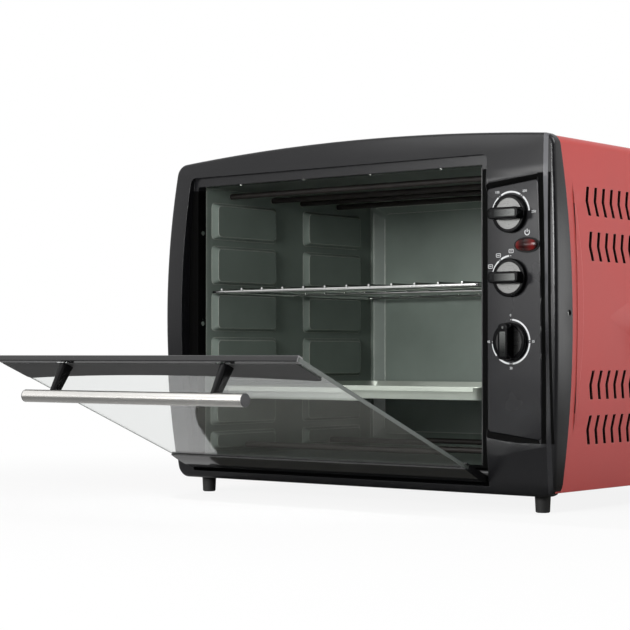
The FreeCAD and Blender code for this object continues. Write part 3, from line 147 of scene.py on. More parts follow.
class Nodes:
    """Builds one node tree. Each input is a plain value or a socket that feeds it."""

    def __init__(self, name: str) -> None:
        """Starts an empty material of that name."""
        self.material = bpy.data.materials.new(name)
        self.material.use_nodes = True
        self.tree = self.material.node_tree
        self.tree.nodes.clear()

    @classmethod
    def of_tree(cls, tree: bpy.types.NodeTree) -> "Nodes":
        """Gives a builder for a tree that isn't a material's, emptied first."""
        nodes = cls.__new__(cls)
        nodes.tree = tree
        nodes.tree.nodes.clear()
        return nodes

    def add(self, kind: str, inputs: dict | None = None, **settings: object) -> bpy.types.Node:
        """Adds a node.

        Args:
            kind: Blender's name for the node type.
            inputs: A value or a feeding socket for each input, by its name or number.
            settings: Node properties, by name.

        Returns:
            The new node.
        """
        node = self.tree.nodes.new(kind)
        for name, value in settings.items():
            setattr(node, name, value)
        for name, value in (inputs or {}).items():
            if isinstance(value, Socket):
                self.tree.links.new(value, node.inputs[name])
            else:
                node.inputs[name].default_value = value
        return node

    def math(self, operation: str, *inputs: Socket | float, clamp: bool = False) -> Socket:
        """Works out one sum, product or test of values and sockets."""
        node = self.add("ShaderNodeMath", dict(enumerate(inputs)), operation=operation, use_clamp=clamp)
        return node.outputs[0]

    def product(self, *factors: Socket) -> Socket:
        """Multiplies two or more sockets."""
        result = factors[0]
        for factor in factors[1:]:
            result = self.math("MULTIPLY", result, factor)
        return result

    def within(self, value: Socket, low: float, high: float) -> Socket:
        """Gives 1 where a value lies between low and high, and 0 elsewhere."""
        return self.math("COMPARE", value, (low + high) / 2, (high - low) / 2)

    def split(self, vector: Socket) -> list[Socket]:
        """Gives a vector's X, Y and Z."""
        return list(self.add("ShaderNodeSeparateXYZ", {"Vector": vector}).outputs)

    def facing(self) -> list[Socket]:
        """Gives the X, Y and Z of the way that the face itself looks."""
        return self.split(self.add("ShaderNodeNewGeometry").outputs["True Normal"])

    def noise(self, place: Socket, size_mm: float, detail: float) -> Socket:
        """Gives a noise of 0 to 1 with features of this size."""
        inputs = {"Vector": place, "Scale": per_metre(size_mm), "Detail": detail}
        return self.add("ShaderNodeTexNoise", inputs).outputs["Fac"]

    def ramp(self, source: Socket, stops: list[tuple[float, tuple]]) -> Socket:
        """Turns a value into a colour by a list of places and colours."""
        node = self.add("ShaderNodeValToRGB", {"Fac": source})
        elements = node.color_ramp.elements
        while len(elements) < len(stops):
            elements.new(1.0)
        for element, (place, colour) in zip(elements, stops):
            element.position = place
            element.color = colour
        return node.outputs["Color"]

    def spread(self, source: Socket, low: float, high: float, start: float = 0.0, stop: float = 1.0,
               curve: str = "LINEAR") -> Socket:
        """Maps a value from start to stop onto low to high.

        Args:
            source: The value.
            low: What start becomes.
            high: What stop becomes.
            start: Where the range starts.
            stop: Where it ends.
            curve: Blender's name for the kind of passage between them.

        Returns:
            The mapped value.
        """
        inputs = {"Value": source, "From Min": start, "From Max": stop, "To Min": low, "To Max": high}
        return self.add("ShaderNodeMapRange", inputs, interpolation_type=curve).outputs["Result"]

    def mix_colours(self, share: Socket, plain: Socket, other: Socket | tuple) -> Socket:
        """Mixes two colours, and gives all of the other where the share is 1."""
        return self.add("ShaderNodeMix", {0: share, 6: plain, 7: other}, data_type="RGBA").outputs[2]

    def mix_values(self, share: Socket, plain: Socket | float, other: Socket | float) -> Socket:
        """Mixes two values, and gives all of the other where the share is 1."""
        return self.add("ShaderNodeMix", {0: share, 2: plain, 3: other}, data_type="FLOAT").outputs[0]

    def mix_shaders(self, share: Socket, plain: Socket, other: Socket) -> Socket:
        """Mixes two shaders, and gives all of the other where the share is 1."""
        return self.add("ShaderNodeMixShader", {0: share, 1: plain, 2: other}).outputs[0]

    def finish_world(self, shader: Socket) -> None:
        """Feeds a shader to the world's output."""
        self.add("ShaderNodeOutputWorld", {"Surface": shader})

    def finish(self, shader: Socket) -> bpy.types.Material:
        """Feeds a shader to the material's output and gives back the material."""
        self.add("ShaderNodeOutputMaterial", {"Surface": shader})
        return self.material


@dataclass(frozen=True)
class Finish:
    """A smooth surface with a little unevenness in its gloss. Each kind of surface adds to it."""

    name: str
    colour: str
    roughness: float
    metallic: float = 0.0
    ior: float = 1.5
    coat: float = 0.0
    coat_roughness: float = 0.1
    specular: float = 0.5
    tone_share: float = 0.06
    tone_mm: float = 60.0
    tone_detail: float = 3.0
    gloss_share: float = 0.12
    edge_mm: float = 0.0
    # The colour painted on edges, a painted highlight where it is paler than the finish
    edge_colour: str = ""
    edge_share: float = 0.6
    edge_start: float = 0.998
    edge_full: float = 0.88
    edge_samples: int = 4

    def coordinates(self, nodes: Nodes) -> Socket:
        """Gives the piece's own coordinates, in metres."""
        return nodes.add("ShaderNodeTexCoord").outputs["Object"]

    def shades(self, nodes: Nodes, tone: Socket, place: Socket) -> Socket:
        """Gives the base colour, a little darker and lighter with the tone, and another colour painted on
        its edges.

        Args:
            nodes: The material's tree.
            tone: The slow variation over the surface.
            place: The piece's own coordinates. Not used here.

        Returns:
            The colour.
        """
        red, green, blue, alpha = linear(self.colour)
        dark = tuple(c * (1 - self.tone_share) for c in (red, green, blue)) + (alpha,)
        light = tuple(min(1.0, c * (1 + self.tone_share)) for c in (red, green, blue)) + (alpha,)
        plain = nodes.ramp(tone, [(NOISE_LOW, dark), (NOISE_HIGH, light)])
        if not self.edge_colour:
            return plain
        # Painted highlight on edges: paler on the frame, the red paint and the enamel; near black on the
        # handle's caps
        flat = nodes.add("ShaderNodeNewGeometry").outputs["Normal"]
        turned = nodes.add("ShaderNodeVectorMath", {0: flat, 1: self.soft_edge(nodes)},
                           operation="DOT_PRODUCT")
        painted_edge = nodes.spread(turned.outputs["Value"], 0.0, self.edge_share, self.edge_start, self.edge_full)
        return nodes.mix_colours(painted_edge, plain, linear(self.edge_colour))

    def soft_edge(self, nodes: Nodes) -> Socket | None:
        """Gives the normal of an edge rounded off, or None where edges stay as built."""
        if not self.edge_mm:
            return None
        edge = nodes.add("ShaderNodeBevel", {"Radius": self.edge_mm * MM}, samples=self.edge_samples)
        return edge.outputs["Normal"]

    def bumped(self, nodes: Nodes, height: Socket, strength: float, deep_mm: float) -> Socket:
        """Gives a bump over the soft edge.

        Args:
            nodes: The material's tree.
            height: The relief, 0 to 1.
            strength: How strongly it shows.
            deep_mm: Its real depth.

        Returns:
            The bumped normal.
        """
        inputs = {"Height": height, "Strength": strength, "Distance": deep_mm * MM}
        edge = self.soft_edge(nodes)
        if edge is not None:
            inputs["Normal"] = edge
        return nodes.add("ShaderNodeBump", inputs).outputs["Normal"]

    def relief(self, nodes: Nodes, place: Socket) -> Socket | None:
        """Gives a bumped normal, or None on a surface that is smooth."""
        return self.soft_edge(nodes)

    def gloss(self, nodes: Nodes, tone: Socket, place: Socket) -> Socket:
        """Gives the roughness, a little uneven over the surface."""
        return nodes.spread(tone, self.roughness * (1 - self.gloss_share),
                            self.roughness * (1 + self.gloss_share))

    def shine(self, nodes: Nodes, place: Socket) -> Socket | None:
        """Gives the strength of the mirrored light, or None where it is the same all over."""
        return None

    def constants(self) -> dict[str, object]:
        """Gives the values that are the same all over the surface."""
        return {
            "Metallic": self.metallic,
            "IOR": self.ior,
            "Coat Weight": self.coat,
            "Coat Roughness": self.coat_roughness,
            "Specular IOR Level": self.specular,
        }

    def build(self) -> bpy.types.Material:
        """Makes the material."""
        nodes = Nodes(self.name)
        place = self.coordinates(nodes)
        tone = nodes.noise(place, self.tone_mm, self.tone_detail)
        inputs = self.constants()
        inputs["Base Color"] = self.shades(nodes, tone, place)
        inputs["Roughness"] = self.gloss(nodes, tone, place)
        normal = self.relief(nodes, place)
        if normal is not None:
            inputs["Normal"] = normal
        shine = self.shine(nodes, place)
        if shine is not None:
            inputs["Specular IOR Level"] = shine
        return nodes.finish(nodes.add("ShaderNodeBsdfPrincipled", inputs).outputs["BSDF"])


@dataclass(frozen=True)
class Grained(Finish):
    """A surface with a fine even grain, as spark-eroded moulds, powder paint and castings leave."""

    grain_mm: float = 0.8
    grain_depth: float = 0.15
    grain_deep_mm: float = 0.05
    grain_detail: float = 4.0

    def relief(self, nodes: Nodes, place: Socket) -> Socket | None:
        """Gives the grain as a bump of its real depth."""
        grain = nodes.noise(place, self.grain_mm, self.grain_detail)
        return self.bumped(nodes, grain, self.grain_depth, self.grain_deep_mm)


@dataclass(frozen=True)
class Brushed(Finish):
    """A metal drawn or brushed one way, with long fine lines in its gloss and its relief."""

    line_mm: float = 0.7
    stretch: tuple[float, float, float] = (0.02, 1.0, 1.0)
    line_depth: float = 0.2
    line_deep_mm: float = 0.04
    line_gloss: float = 0.35
    line_detail: float = 3.0

    def lines(self, nodes: Nodes, place: Socket) -> Socket:
        """Gives the brushed lines as a value of 0 to 1."""
        turned = nodes.add("ShaderNodeMapping", {"Scale": self.stretch, "Vector": place})
        return nodes.noise(turned.outputs["Vector"], self.line_mm, self.line_detail)

    def gloss(self, nodes: Nodes, tone: Socket, place: Socket) -> Socket:
        """Gives a roughness that changes from line to line."""
        return nodes.spread(self.lines(nodes, place), self.roughness * (1 - self.line_gloss),
                            self.roughness * (1 + self.line_gloss))

    def relief(self, nodes: Nodes, place: Socket) -> Socket | None:
        """Gives the lines as a shallow bump."""
        return self.bumped(nodes, self.lines(nodes, place), self.line_depth, self.line_deep_mm)


@dataclass(frozen=True)
class ClearGlass(Finish):
    """Float glass that lamps shine through, with side edges ground to a pale frost."""

    ground_colour: str = "#626864"
    ground_roughness: float = 0.45
    ground_turn: float = 0.7

    def build(self) -> bpy.types.Material:
        """Makes the material, with plain light let through to what lies behind."""
        nodes = Nodes(self.name)
        tint = linear(self.colour)
        clear = nodes.add("ShaderNodeBsdfPrincipled", {"Base Color": tint, "Roughness": self.roughness,
                                                       "IOR": self.ior, "Transmission Weight": 1.0})
        open_air = nodes.add("ShaderNodeBsdfTransparent", {"Color": tint})
        path = nodes.add("ShaderNodeLightPath")
        pane = nodes.mix_shaders(path.outputs["Is Shadow Ray"], clear.outputs[0], open_air.outputs[0])
        side, _, _ = nodes.facing()
        ground = nodes.math("GREATER_THAN", nodes.math("ABSOLUTE", side), self.ground_turn)
        frosted = nodes.add("ShaderNodeBsdfPrincipled", {"Base Color": linear(self.ground_colour),
                                                         "Roughness": self.ground_roughness})
        return nodes.finish(nodes.mix_shaders(ground, pane, frosted.outputs[0]))


@dataclass(frozen=True)
class Lens(Finish):
    """Clear coloured glass or plastic that is lit from inside."""

    glow: float = 0.25
    clearness: float = 0.35

    def constants(self) -> dict[str, object]:
        """Adds the light that passes through the lens."""
        values = super().constants()
        values["Transmission Weight"] = self.clearness
        values["Emission Color"] = linear(self.colour)
        values["Emission Strength"] = self.glow
        return values


@dataclass(frozen=True)
class PanelledPlastic(Grained):
    """The front frame's moulding, with black painted shade where it lies deep and a pale painted highlight
    on its rim.

    Widths are in millimetres from the panel's right edge, which bows. Places are in metres in the
    model's frame, and come from the pieces.
    """

    # Painted shade: colour, roughness and shine where the moulding lies deep
    painted_shade_colour: str = "#040404"
    painted_shade_roughness: float = 0.6
    painted_shade_shine: float = 0.03
    # Painted highlight on the rim beside the panel, weaker towards the rim's lower end
    rim_highlight_colour: str = "#545457"
    rim_highlight_least: float = 0.1
    slope_turn: float = 0.2
    forward_turn: float = 0.7
    recess_width: float = 6.8
    rim_width: float = 12.3
    # Outer edge of a line of painted shade past the rim
    shade_line_width: float = 15.6
    bow_diameter: float = 9000.0
    bow_height: float = 0.0
    seat_front: float = 0.0
    seat_low: float = 0.0
    seat_high: float = 0.0
    recess_left: float = 0.0
    recess_low: float = 0.0
    recess_high: float = 0.0
    panel_edge: float = 0.0
    rim_low: float = 0.0
    rim_high: float = 0.0

    def past_panel(self, nodes: Nodes, x: Socket, z: Socket) -> Socket:
        """Gives how far a point lies past the panel's bowed right edge, in metres."""
        rise = nodes.math("SUBTRACT", z, self.bow_height)
        bow = nodes.math("DIVIDE", nodes.math("MULTIPLY", rise, rise), self.bow_diameter * MM)
        return nodes.math("SUBTRACT", nodes.math("ADD", bow, x), self.panel_edge)

    def rim(self, nodes: Nodes, place: Socket) -> Socket:
        """Gives how strong the painted highlight on the rim beside the recess is, stronger towards its top.
        """
        x, _, z = nodes.split(place)
        past = self.past_panel(nodes, x, z)
        band = nodes.within(past, self.recess_width * MM, self.rim_width * MM)
        return nodes.product(band, nodes.spread(z, self.rim_highlight_least, 1.0, self.rim_low, self.rim_high))

    def painted_shade_mask(self, nodes: Nodes, place: Socket) -> Socket:
        """Gives 1 where shade is painted: in the door's seat, the panel's recess and the line past the rim,
        and 0 on the face.
        """
        x, y, z = nodes.split(place)
        past = self.past_panel(nodes, x, z)
        beside_panel = nodes.within(z, self.recess_low, self.recess_high)
        seat = nodes.product(nodes.math("GREATER_THAN", y, self.seat_front),
                             nodes.within(x, -self.panel_edge, self.panel_edge),
                             nodes.within(z, self.seat_low, self.seat_high))
        across, ahead, upright = nodes.facing()
        leaning = nodes.math("GREATER_THAN", nodes.math("ABSOLUTE", upright), self.slope_turn)
        sloped = nodes.math("MAXIMUM", nodes.math("LESS_THAN", across, -self.slope_turn), leaning)
        slope = nodes.product(sloped, nodes.math("LESS_THAN", ahead, -self.forward_turn),
                              nodes.math("GREATER_THAN", x, self.recess_left),
                              nodes.math("LESS_THAN", past, self.recess_width * MM), beside_panel)
        recess = nodes.within(past, 0.0, self.recess_width * MM)
        shade_line = nodes.within(past, self.rim_width * MM, self.shade_line_width * MM)
        strip = nodes.product(nodes.math("MAXIMUM", recess, shade_line), beside_panel)
        return nodes.math("MAXIMUM", nodes.math("MAXIMUM", seat, slope), strip)

    def shades(self, nodes: Nodes, tone: Socket, place: Socket) -> Socket:
        """Gives the moulding's colour, with black painted shade where it lies deep and a pale painted
        highlight on the rim.
        """
        plain = super().shades(nodes, tone, place)
        highlighted = nodes.mix_colours(self.rim(nodes, place), plain, linear(self.rim_highlight_colour))
        return nodes.mix_colours(self.painted_shade_mask(nodes, place), highlighted, linear(self.painted_shade_colour))

    def gloss(self, nodes: Nodes, tone: Socket, place: Socket) -> Socket:
        """Gives the roughness, duller where shade is painted."""
        plain = super().gloss(nodes, tone, place)
        return nodes.mix_values(self.painted_shade_mask(nodes, place), plain, self.painted_shade_roughness)

    def shine(self, nodes: Nodes, place: Socket) -> Socket | None:
        """Gives the mirrored light's strength, next to none where shade is painted."""
        return nodes.mix_values(self.painted_shade_mask(nodes, place), self.specular, self.painted_shade_shine)


@dataclass(frozen=True)
class VentedPaint(Grained):
    """Stoving paint on the cover, with black painted shade on the walls of the punched vents."""

    # Painted shade: black on the walls of the vents
    vent_shade_colour: str = "#0a0706"
    cut_turn: float = 0.3
    skin_mm: float = 2.0
    skin: float = 0.0
    vents_from: float = 0.0

    def shades(self, nodes: Nodes, tone: Socket, place: Socket) -> Socket:
        """Gives the paint's colour, and black painted shade on the walls of the cuts."""
        plain = super().shades(nodes, tone, place)
        x, y, _ = nodes.split(place)
        across, _, _ = nodes.facing()
        inside = self.skin - self.skin_mm * MM
        vent_wall_shade = nodes.product(nodes.math("GREATER_THAN", nodes.math("ABSOLUTE", x), inside),
                            nodes.math("LESS_THAN", nodes.math("ABSOLUTE", across), self.cut_turn),
                            nodes.math("GREATER_THAN", y, self.vents_from))
        return nodes.mix_colours(vent_wall_shade, plain, linear(self.vent_shade_colour))


@dataclass(frozen=True)
class FlangedEnamel(Grained):
    """Cavity enamel, with nearly black painted shade on its front flange behind the frame's jamb."""

    # Painted shade on the front flange
    flange_shade_colour: str = "#0c0d0c"
    flange_rear: float = 0.0

    def shades(self, nodes: Nodes, tone: Socket, place: Socket) -> Socket:
        """Gives the enamel's colour, and nearly black painted shade on the flange."""
        plain = super().shades(nodes, tone, place)
        _, y, _ = nodes.split(place)
        ahead = nodes.math("LESS_THAN", y, self.flange_rear)
        return nodes.mix_colours(ahead, plain, linear(self.flange_shade_colour))


@dataclass(frozen=True)
class PilotLens(Finish):
    """Red styrene, the glow and shade of its ribs painted in as reds that darken and brighten from end to
    end.
    """

    left: float = 0.0
    right: float = 1.0
    # Painted light and shade: the reds from the left end to the right
    painted_reds: tuple[tuple[float, str], ...] = (
        (0.0, "#150505"), (0.1, "#5c1210"), (0.24, "#300d0c"), (0.42, "#1a0808"),
        (0.58, "#321110"), (0.82, "#5e100f"), (0.93, "#260d0c"), (1.0, "#100404"),
    )

    def shades(self, nodes: Nodes, tone: Socket, place: Socket) -> Socket:
        """Gives the painted reds, darker and brighter from end to end."""
        x, _, _ = nodes.split(place)
        across = nodes.spread(x, 0.0, 1.0, self.left, self.right)
        return nodes.ramp(across, [(spot, linear(red)) for spot, red in self.painted_reds])


@dataclass(frozen=True)
class KnobFoil(Brushed):
    """Spun aluminium foil of a knob's face, and the darker one let into its grip bar, painted from shade to
    light along it.
    """

    # The grip bar's foil, painted from shade at one end to light at the other
    inlay_shaded_end: str = "#101111"
    inlay_lit_end: str = "#4d4e4d"
    inlay_start: float = 0.1
    inlay_end: float = 0.95
    inlay_deep: float = 2.0
    inlay_reach: float = 13.0
    upright: bool = False
    middle: float = 0.0
    front: float = 0.0

    def shades(self, nodes: Nodes, tone: Socket, place: Socket) -> Socket:
        """Gives the foil's colour, and on the grip bar, which stands foremost, a darker foil painted from
        shade to light.
        """
        plain = super().shades(nodes, tone, place)
        x, y, z = nodes.split(place)
        foremost = nodes.math("LESS_THAN", y, self.front + self.inlay_deep * MM)
        reach = self.inlay_reach * MM
        run = nodes.spread(z if self.upright else x, 0.0, 1.0, self.middle - reach, self.middle + reach)
        inlay = nodes.ramp(run, [(self.inlay_start, linear(self.inlay_shaded_end)),
                                 (self.inlay_end, linear(self.inlay_lit_end))])
        return nodes.mix_colours(foremost, plain, inlay)


def based_on(kind: type[Finish], base: Finish, **changes: object) -> Finish:
    """Gives a finish of one kind that keeps a base finish's values.

    Args:
        kind: The kind of finish, which has all the base's values.
        base: The finish whose values are kept.
        changes: The values that differ, by name.

    Returns:
        The new finish.
    """
    return kind(**{**asdict(base), **changes})


# Moulded ABS, satin with a fine spark-eroded grain: black that greys softly towards the light, with a grey
# painted highlight on its edges
BLACK_ABS = Grained("moulded_black_abs", "#101012", 0.25, ior=1.52, specular=0.34, grain_mm=1.1,
                    grain_depth=0.08, edge_mm=0.6, edge_colour="#4a4a4c", edge_share=0.4)
# ABS polished in its mould, for the knobs and the lamp's rim: deep black
KNOB_ABS = Finish("knob_black_abs", "#060607", 0.2, ior=1.52, specular=0.06, tone_share=0.03)
# The same moulding on the handle's posts, a little greyer, with small sharp lights
GLOSS_ABS = Finish("polished_black_abs", "#0b0b0c", 0.2, ior=1.52, specular=0.2, tone_share=0.03)
# Lacquered plate of the control panel: dark grey satin
PANEL_LACQUER = Grained("dark_grey_lacquer", "#1a1a1c", 0.27, ior=1.5, specular=0.24, grain_mm=0.9,
                        grain_depth=0.08, edge_mm=0.4)
# Red stoving paint on sheet steel: soft gloss over a faint orange peel, with a pink painted highlight on its
# edges
RED_PAINT = Grained("red_stoving_paint", "#b93e3a", 0.40, ior=1.5, specular=0.35, coat=0.1,
                    coat_roughness=0.25, grain_mm=2.6, grain_depth=0.12, tone_share=0.03, edge_mm=0.9,
                    edge_colour="#dc8a83", edge_share=0.75, edge_full=0.97)
# Zinc coated sheet: pale grey with a dull lustre
ZINC_SHEET = Grained("zinc_coated_sheet", "#9a9c9e", 0.45, metallic=0.9, grain_mm=9.0, grain_depth=0.02,
                     tone_mm=12.0, tone_share=0.12)
# Sheet of the wall between cavity and controls, black as painted shade
SHADE_BLACK_SHEET = Grained("sheet_painted_shade", "#0b0b0b", 0.6, specular=0.15, grain_mm=2.0, grain_depth=0.05)
# Non-stick enamel of the cavity: dark grey-green, with a soft sheen and a pale painted highlight on its
# pressed edges
LINER_ENAMEL = Grained("dark_cavity_enamel", "#69736c", 0.3, ior=1.55, coat=0.4, coat_roughness=0.2,
                       grain_mm=1.6, grain_depth=0.05, tone_share=0.08, tone_mm=45.0, edge_mm=1.4,
                       edge_colour="#c4c6bd", edge_share=0.8, edge_full=0.965)
# The same enamel on the roof above the rods, darkened as painted shade
ROOF_ENAMEL = Grained("roof_enamel_painted_shade", "#3f4540", 0.4, ior=1.55, grain_mm=1.6, grain_depth=0.06,
                      tone_share=0.15, tone_mm=60.0)
# Nickel steel sheath of the heating rods, blued and browned by heat
HEATER_SHEATH = Brushed("oxidised_heater_sheath", "#272321", 0.5, metallic=0.35, tone_share=0.25,
                        tone_mm=35.0)
# Steatite: unglazed white ceramic
CERAMIC = Grained("steatite_ceramic", "#d8d4c8", 0.6, grain_mm=0.6, grain_depth=0.08)
# Neon bulb glass, with its glow
NEON_GLASS = Lens("neon_bulb_glass", "#e8a27a", 0.1, glow=0.6)
# Ribbed red styrene of the lamp's lens
RED_STYRENE = Finish("ribbed_red_styrene", "#8c0d0c", 0.2, ior=1.57, specular=0.14)
# Phenolic resin of the control bodies: brown black
PHENOLIC = Grained("brown_phenolic", "#4a3527", 0.5, grain_mm=1.0, grain_depth=0.1)
# Drawn copper of the sensing bulb
COPPER = Brushed("drawn_copper", "#b87358", 0.32, metallic=1.0, stretch=(1.0, 0.02, 1.0))
# Nickel plated screws and pins
NICKEL = Finish("nickel_plated_steel", "#b9bab8", 0.25, metallic=1.0, tone_mm=8.0)
# Spun aluminium foil of the knobs' faces, as it looks facing the light
SILVER_FOIL = Brushed("spun_silver_foil", "#626261", 0.3, metallic=0.9, stretch=(0.05, 1.0, 1.0),
                      line_mm=0.5)
# The same foil, darkened as painted shade, on the timer
SHADED_FOIL = based_on(Brushed, SILVER_FOIL, name="spun_foil_painted_shade", colour="#2b2b2b")
# Toughened float glass
FLOAT_GLASS = ClearGlass("toughened_float_glass", "#fcfefd", 0.0, ior=1.46)
# Ceramic ink fired on the glass: dark grey, dull
FIRED_INK = Grained("fired_grey_ink", "#303030", 0.5, specular=0.3, grain_mm=0.7, grain_depth=0.05)
# Black gloss moulding of the door's rail and edge
GLOSS_RAIL = Finish("black_gloss_moulding", "#101011", 0.12, ior=1.53, coat=0.4, coat_roughness=0.05,
                    tone_share=0.02)
# Stainless tube of the handle, brushed along its length
BRUSHED_STAINLESS = Brushed("brushed_stainless_tube", "#f2f0ec", 0.28, metallic=1.0,
                            stretch=(0.01, 1.0, 1.0))
# Dark grey moulding of the handle's end caps
CAP_GREY = Grained("dark_grey_cap_moulding", "#3d3d3f", 0.4, grain_mm=0.6, grain_depth=0.06, edge_mm=0.5,
                   edge_colour="#0c0c0c", edge_share=1.0)
# Rubber of the feet
RUBBER = Grained("black_rubber", "#1b1b1b", 0.75, grain_mm=0.8, grain_depth=0.2)
# Chromed wire of the rack
CHROME_WIRE = Finish("bright_chromed_wire", "#d4d5d3", 0.14, metallic=1.0, tone_mm=15.0)
# Aluminised steel of the tray: pale, with a dull rolled lustre
TRAY_METAL = Brushed("aluminised_tray_steel", "#a4aaa1", 0.42, metallic=0.85, stretch=(0.03, 1.0, 1.0),
                     line_mm=1.2, line_depth=0.08)
# Screen ink of the dials: light grey and dull
SCREEN_INK = Finish("light_grey_screen_ink", "#c9cacb", 0.6, specular=0.2)

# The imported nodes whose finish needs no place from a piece
FINISHED_NODES: list[tuple[Finish, str]] = [
    (PANEL_LACQUER, "control_panel"),
    (ZINC_SHEET, "rear_panel base_pan timer"),
    (SHADE_BLACK_SHEET, "partition_wall"),
    (LINER_ENAMEL, "liner_left_wall liner_back_wall liner_floor"),
    (ROOF_ENAMEL, "liner_roof"),
    (HEATER_SHEATH, "top_heating_rods_front top_heating_rods_rear"),
    (HEATER_SHEATH, "bottom_heating_rod_front bottom_heating_rod_rear"),
    (CERAMIC, "rod_insulators terminal_block"),
    (KNOB_ABS, "lamp_bezel knob_temperature knob_mode knob_timer"),
    (NEON_GLASS, "neon_lamp"),
    (PHENOLIC, "thermostat mode_switch"),
    (COPPER, "thermostat_bulb"),
    (BLACK_ABS, "cord_gland"),
    (NICKEL, "shaft_nuts foot_screws frame_side_screws jamb_screws rear_screws handle_screws"),
    (NICKEL, "hinge_bush_left hinge_bush_right hinge_pin_left hinge_pin_right"),
    (NICKEL, "shaft_temperature shaft_mode shaft_timer"),
    (FLOAT_GLASS, "door_glass"),
    (FIRED_INK, "door_top_band"),
    (GLOSS_RAIL, "door_top_trim door_bottom_rail"),
    (BRUSHED_STAINLESS, "handle_tube"),
    (CAP_GREY, "handle_cap_left handle_cap_right"),
    (GLOSS_ABS, "handle_post_left handle_post_right"),
    (CHROME_WIRE, "wire_rack"),
    (TRAY_METAL, "baking_tray"),
    (RUBBER, "foot_front_left foot_front_right foot_rear_left foot_rear_right"),
]


class Paintshop:
    """Makes each finish once and hands out its material."""

    def __init__(self) -> None:
        """Starts with no material made."""
        self.made: dict[str, bpy.types.Material] = {}

    def material(self, finish: Finish) -> bpy.types.Material:
        """Gives the material of a finish, made at its first use."""
        if finish.name not in self.made:
            self.made[finish.name] = finish.build()
        return self.made[finish.name]

    def dress(self, node: bpy.types.Object, finish: Finish) -> None:
        """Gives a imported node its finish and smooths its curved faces.

        Args:
            node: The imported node's object.
            finish: What its surface is.
        """
        node.data.materials.clear()
        node.data.materials.append(self.material(finish))
        weld = node.modifiers.new("weld", "WELD")
        weld.merge_threshold = WELD_GAP
        split = node.modifiers.new("split", "EDGE_SPLIT")
        split.split_angle = math.radians(SHARP_EDGE)
        node.data.polygons.foreach_set("use_smooth", [True] * len(node.data.polygons))


def add_object(name: str, shape: Shape, material: bpy.types.Material) -> bpy.types.Object:
    """Turns a shape into an object of the scene.

    Args:
        name: The name of the object.
        shape: Its mesh, in metres. It is freed.
        material: Its finish.

    Returns:
        The new object.
    """
    mesh = bpy.data.meshes.new(name)
    shape.to_mesh(mesh)
    shape.free()
    mesh.materials.append(material)
    piece = bpy.data.objects.new(name, mesh)
    bpy.context.scene.collection.objects.link(piece)
    return piece


def add_print(name: str, shape: Shape, node: str, above: float, paints: Paintshop) -> None:
    """Turns a modelled shape into a flat print on the control panel.

    Args:
        name: The piece's name.
        shape: Its mesh, in millimetres from the middle of a node. It is freed.
        node: That node.
        above: How far the print's middle lies above the node's, in millimetres.
        paints: Where the ink comes from.
    """
    low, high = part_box(node)
    face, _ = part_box("control_panel")
    middle = Vector(((low.x + high.x) / 2, face.y + INK_SUNK * MM, (low.z + high.z) / 2 + above * MM))
    bmesh.ops.transform(shape, matrix=Matrix.Translation(middle) @ Matrix.Scale(MM, 4), verts=shape.verts)
    bmesh.ops.recalc_face_normals(shape, faces=shape.faces)
    for face in shape.faces:
        face.smooth = False
    piece = add_object(name, shape, paints.material(SCREEN_INK))
    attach(piece, Body.SHELL.value)
    LOG.info("piece %s on %s", name, Body.SHELL.value)


def rounded_sheet(width: float, depth: float, corner: float, steps: int) -> Shape:
    """Gives a flat rectangle round the middle, its corners rounded in this many steps."""
    sheet = bmesh.new()
    bmesh.ops.create_grid(sheet, x_segments=1, y_segments=1, size=0.5)
    bmesh.ops.scale(sheet, vec=(width, depth, 1), verts=sheet.verts)
    bmesh.ops.bevel(sheet, geom=sheet.verts[:], offset=corner, offset_type="OFFSET", affect="VERTICES",
                    segments=steps, profile=0.5, material=-1)
    return sheet


@dataclass(frozen=True)
class Lamp:
    """One soft lamp, aimed at the oven."""

    name: str
    place: tuple[float, float, float]
    aim: tuple[float, float, float]
    width: float
    height: float
    power: float

    def build(self, datum: Datum) -> None:
        """Hangs the lamp."""
        light = bpy.data.lights.new(self.name, "AREA")
        light.shape = "RECTANGLE"
        light.size = self.width * MM
        light.size_y = self.height * MM
        light.energy = self.power
        lamp = bpy.data.objects.new(self.name, light)
        bpy.context.scene.collection.objects.link(lamp)
        lamp.location = datum.point(*self.place)
        lamp.rotation_mode = "QUATERNION"
        lamp.rotation_quaternion = (datum.point(*self.aim) - lamp.location).to_track_quat("-Z", "Y")


@dataclass(frozen=True)
class Flag:
    """A black cloth that takes light off what gloss picks up from one side."""

    side: tuple[float, float, float]
    start: float
    full: float
    left: float

    def share(self, nodes: Nodes, toward: Socket) -> Socket:
        """Gives the share of light left in a direction.

        Args:
            nodes: The world's tree.
            toward: The direction.

        Returns:
            The share, 1 away from the flag.
        """
        dot = nodes.add("ShaderNodeVectorMath", {0: toward, 1: self.side}, operation="DOT_PRODUCT")
        return nodes.spread(dot.outputs["Value"], 1.0, self.left, self.start, self.full, "SMOOTHSTEP")


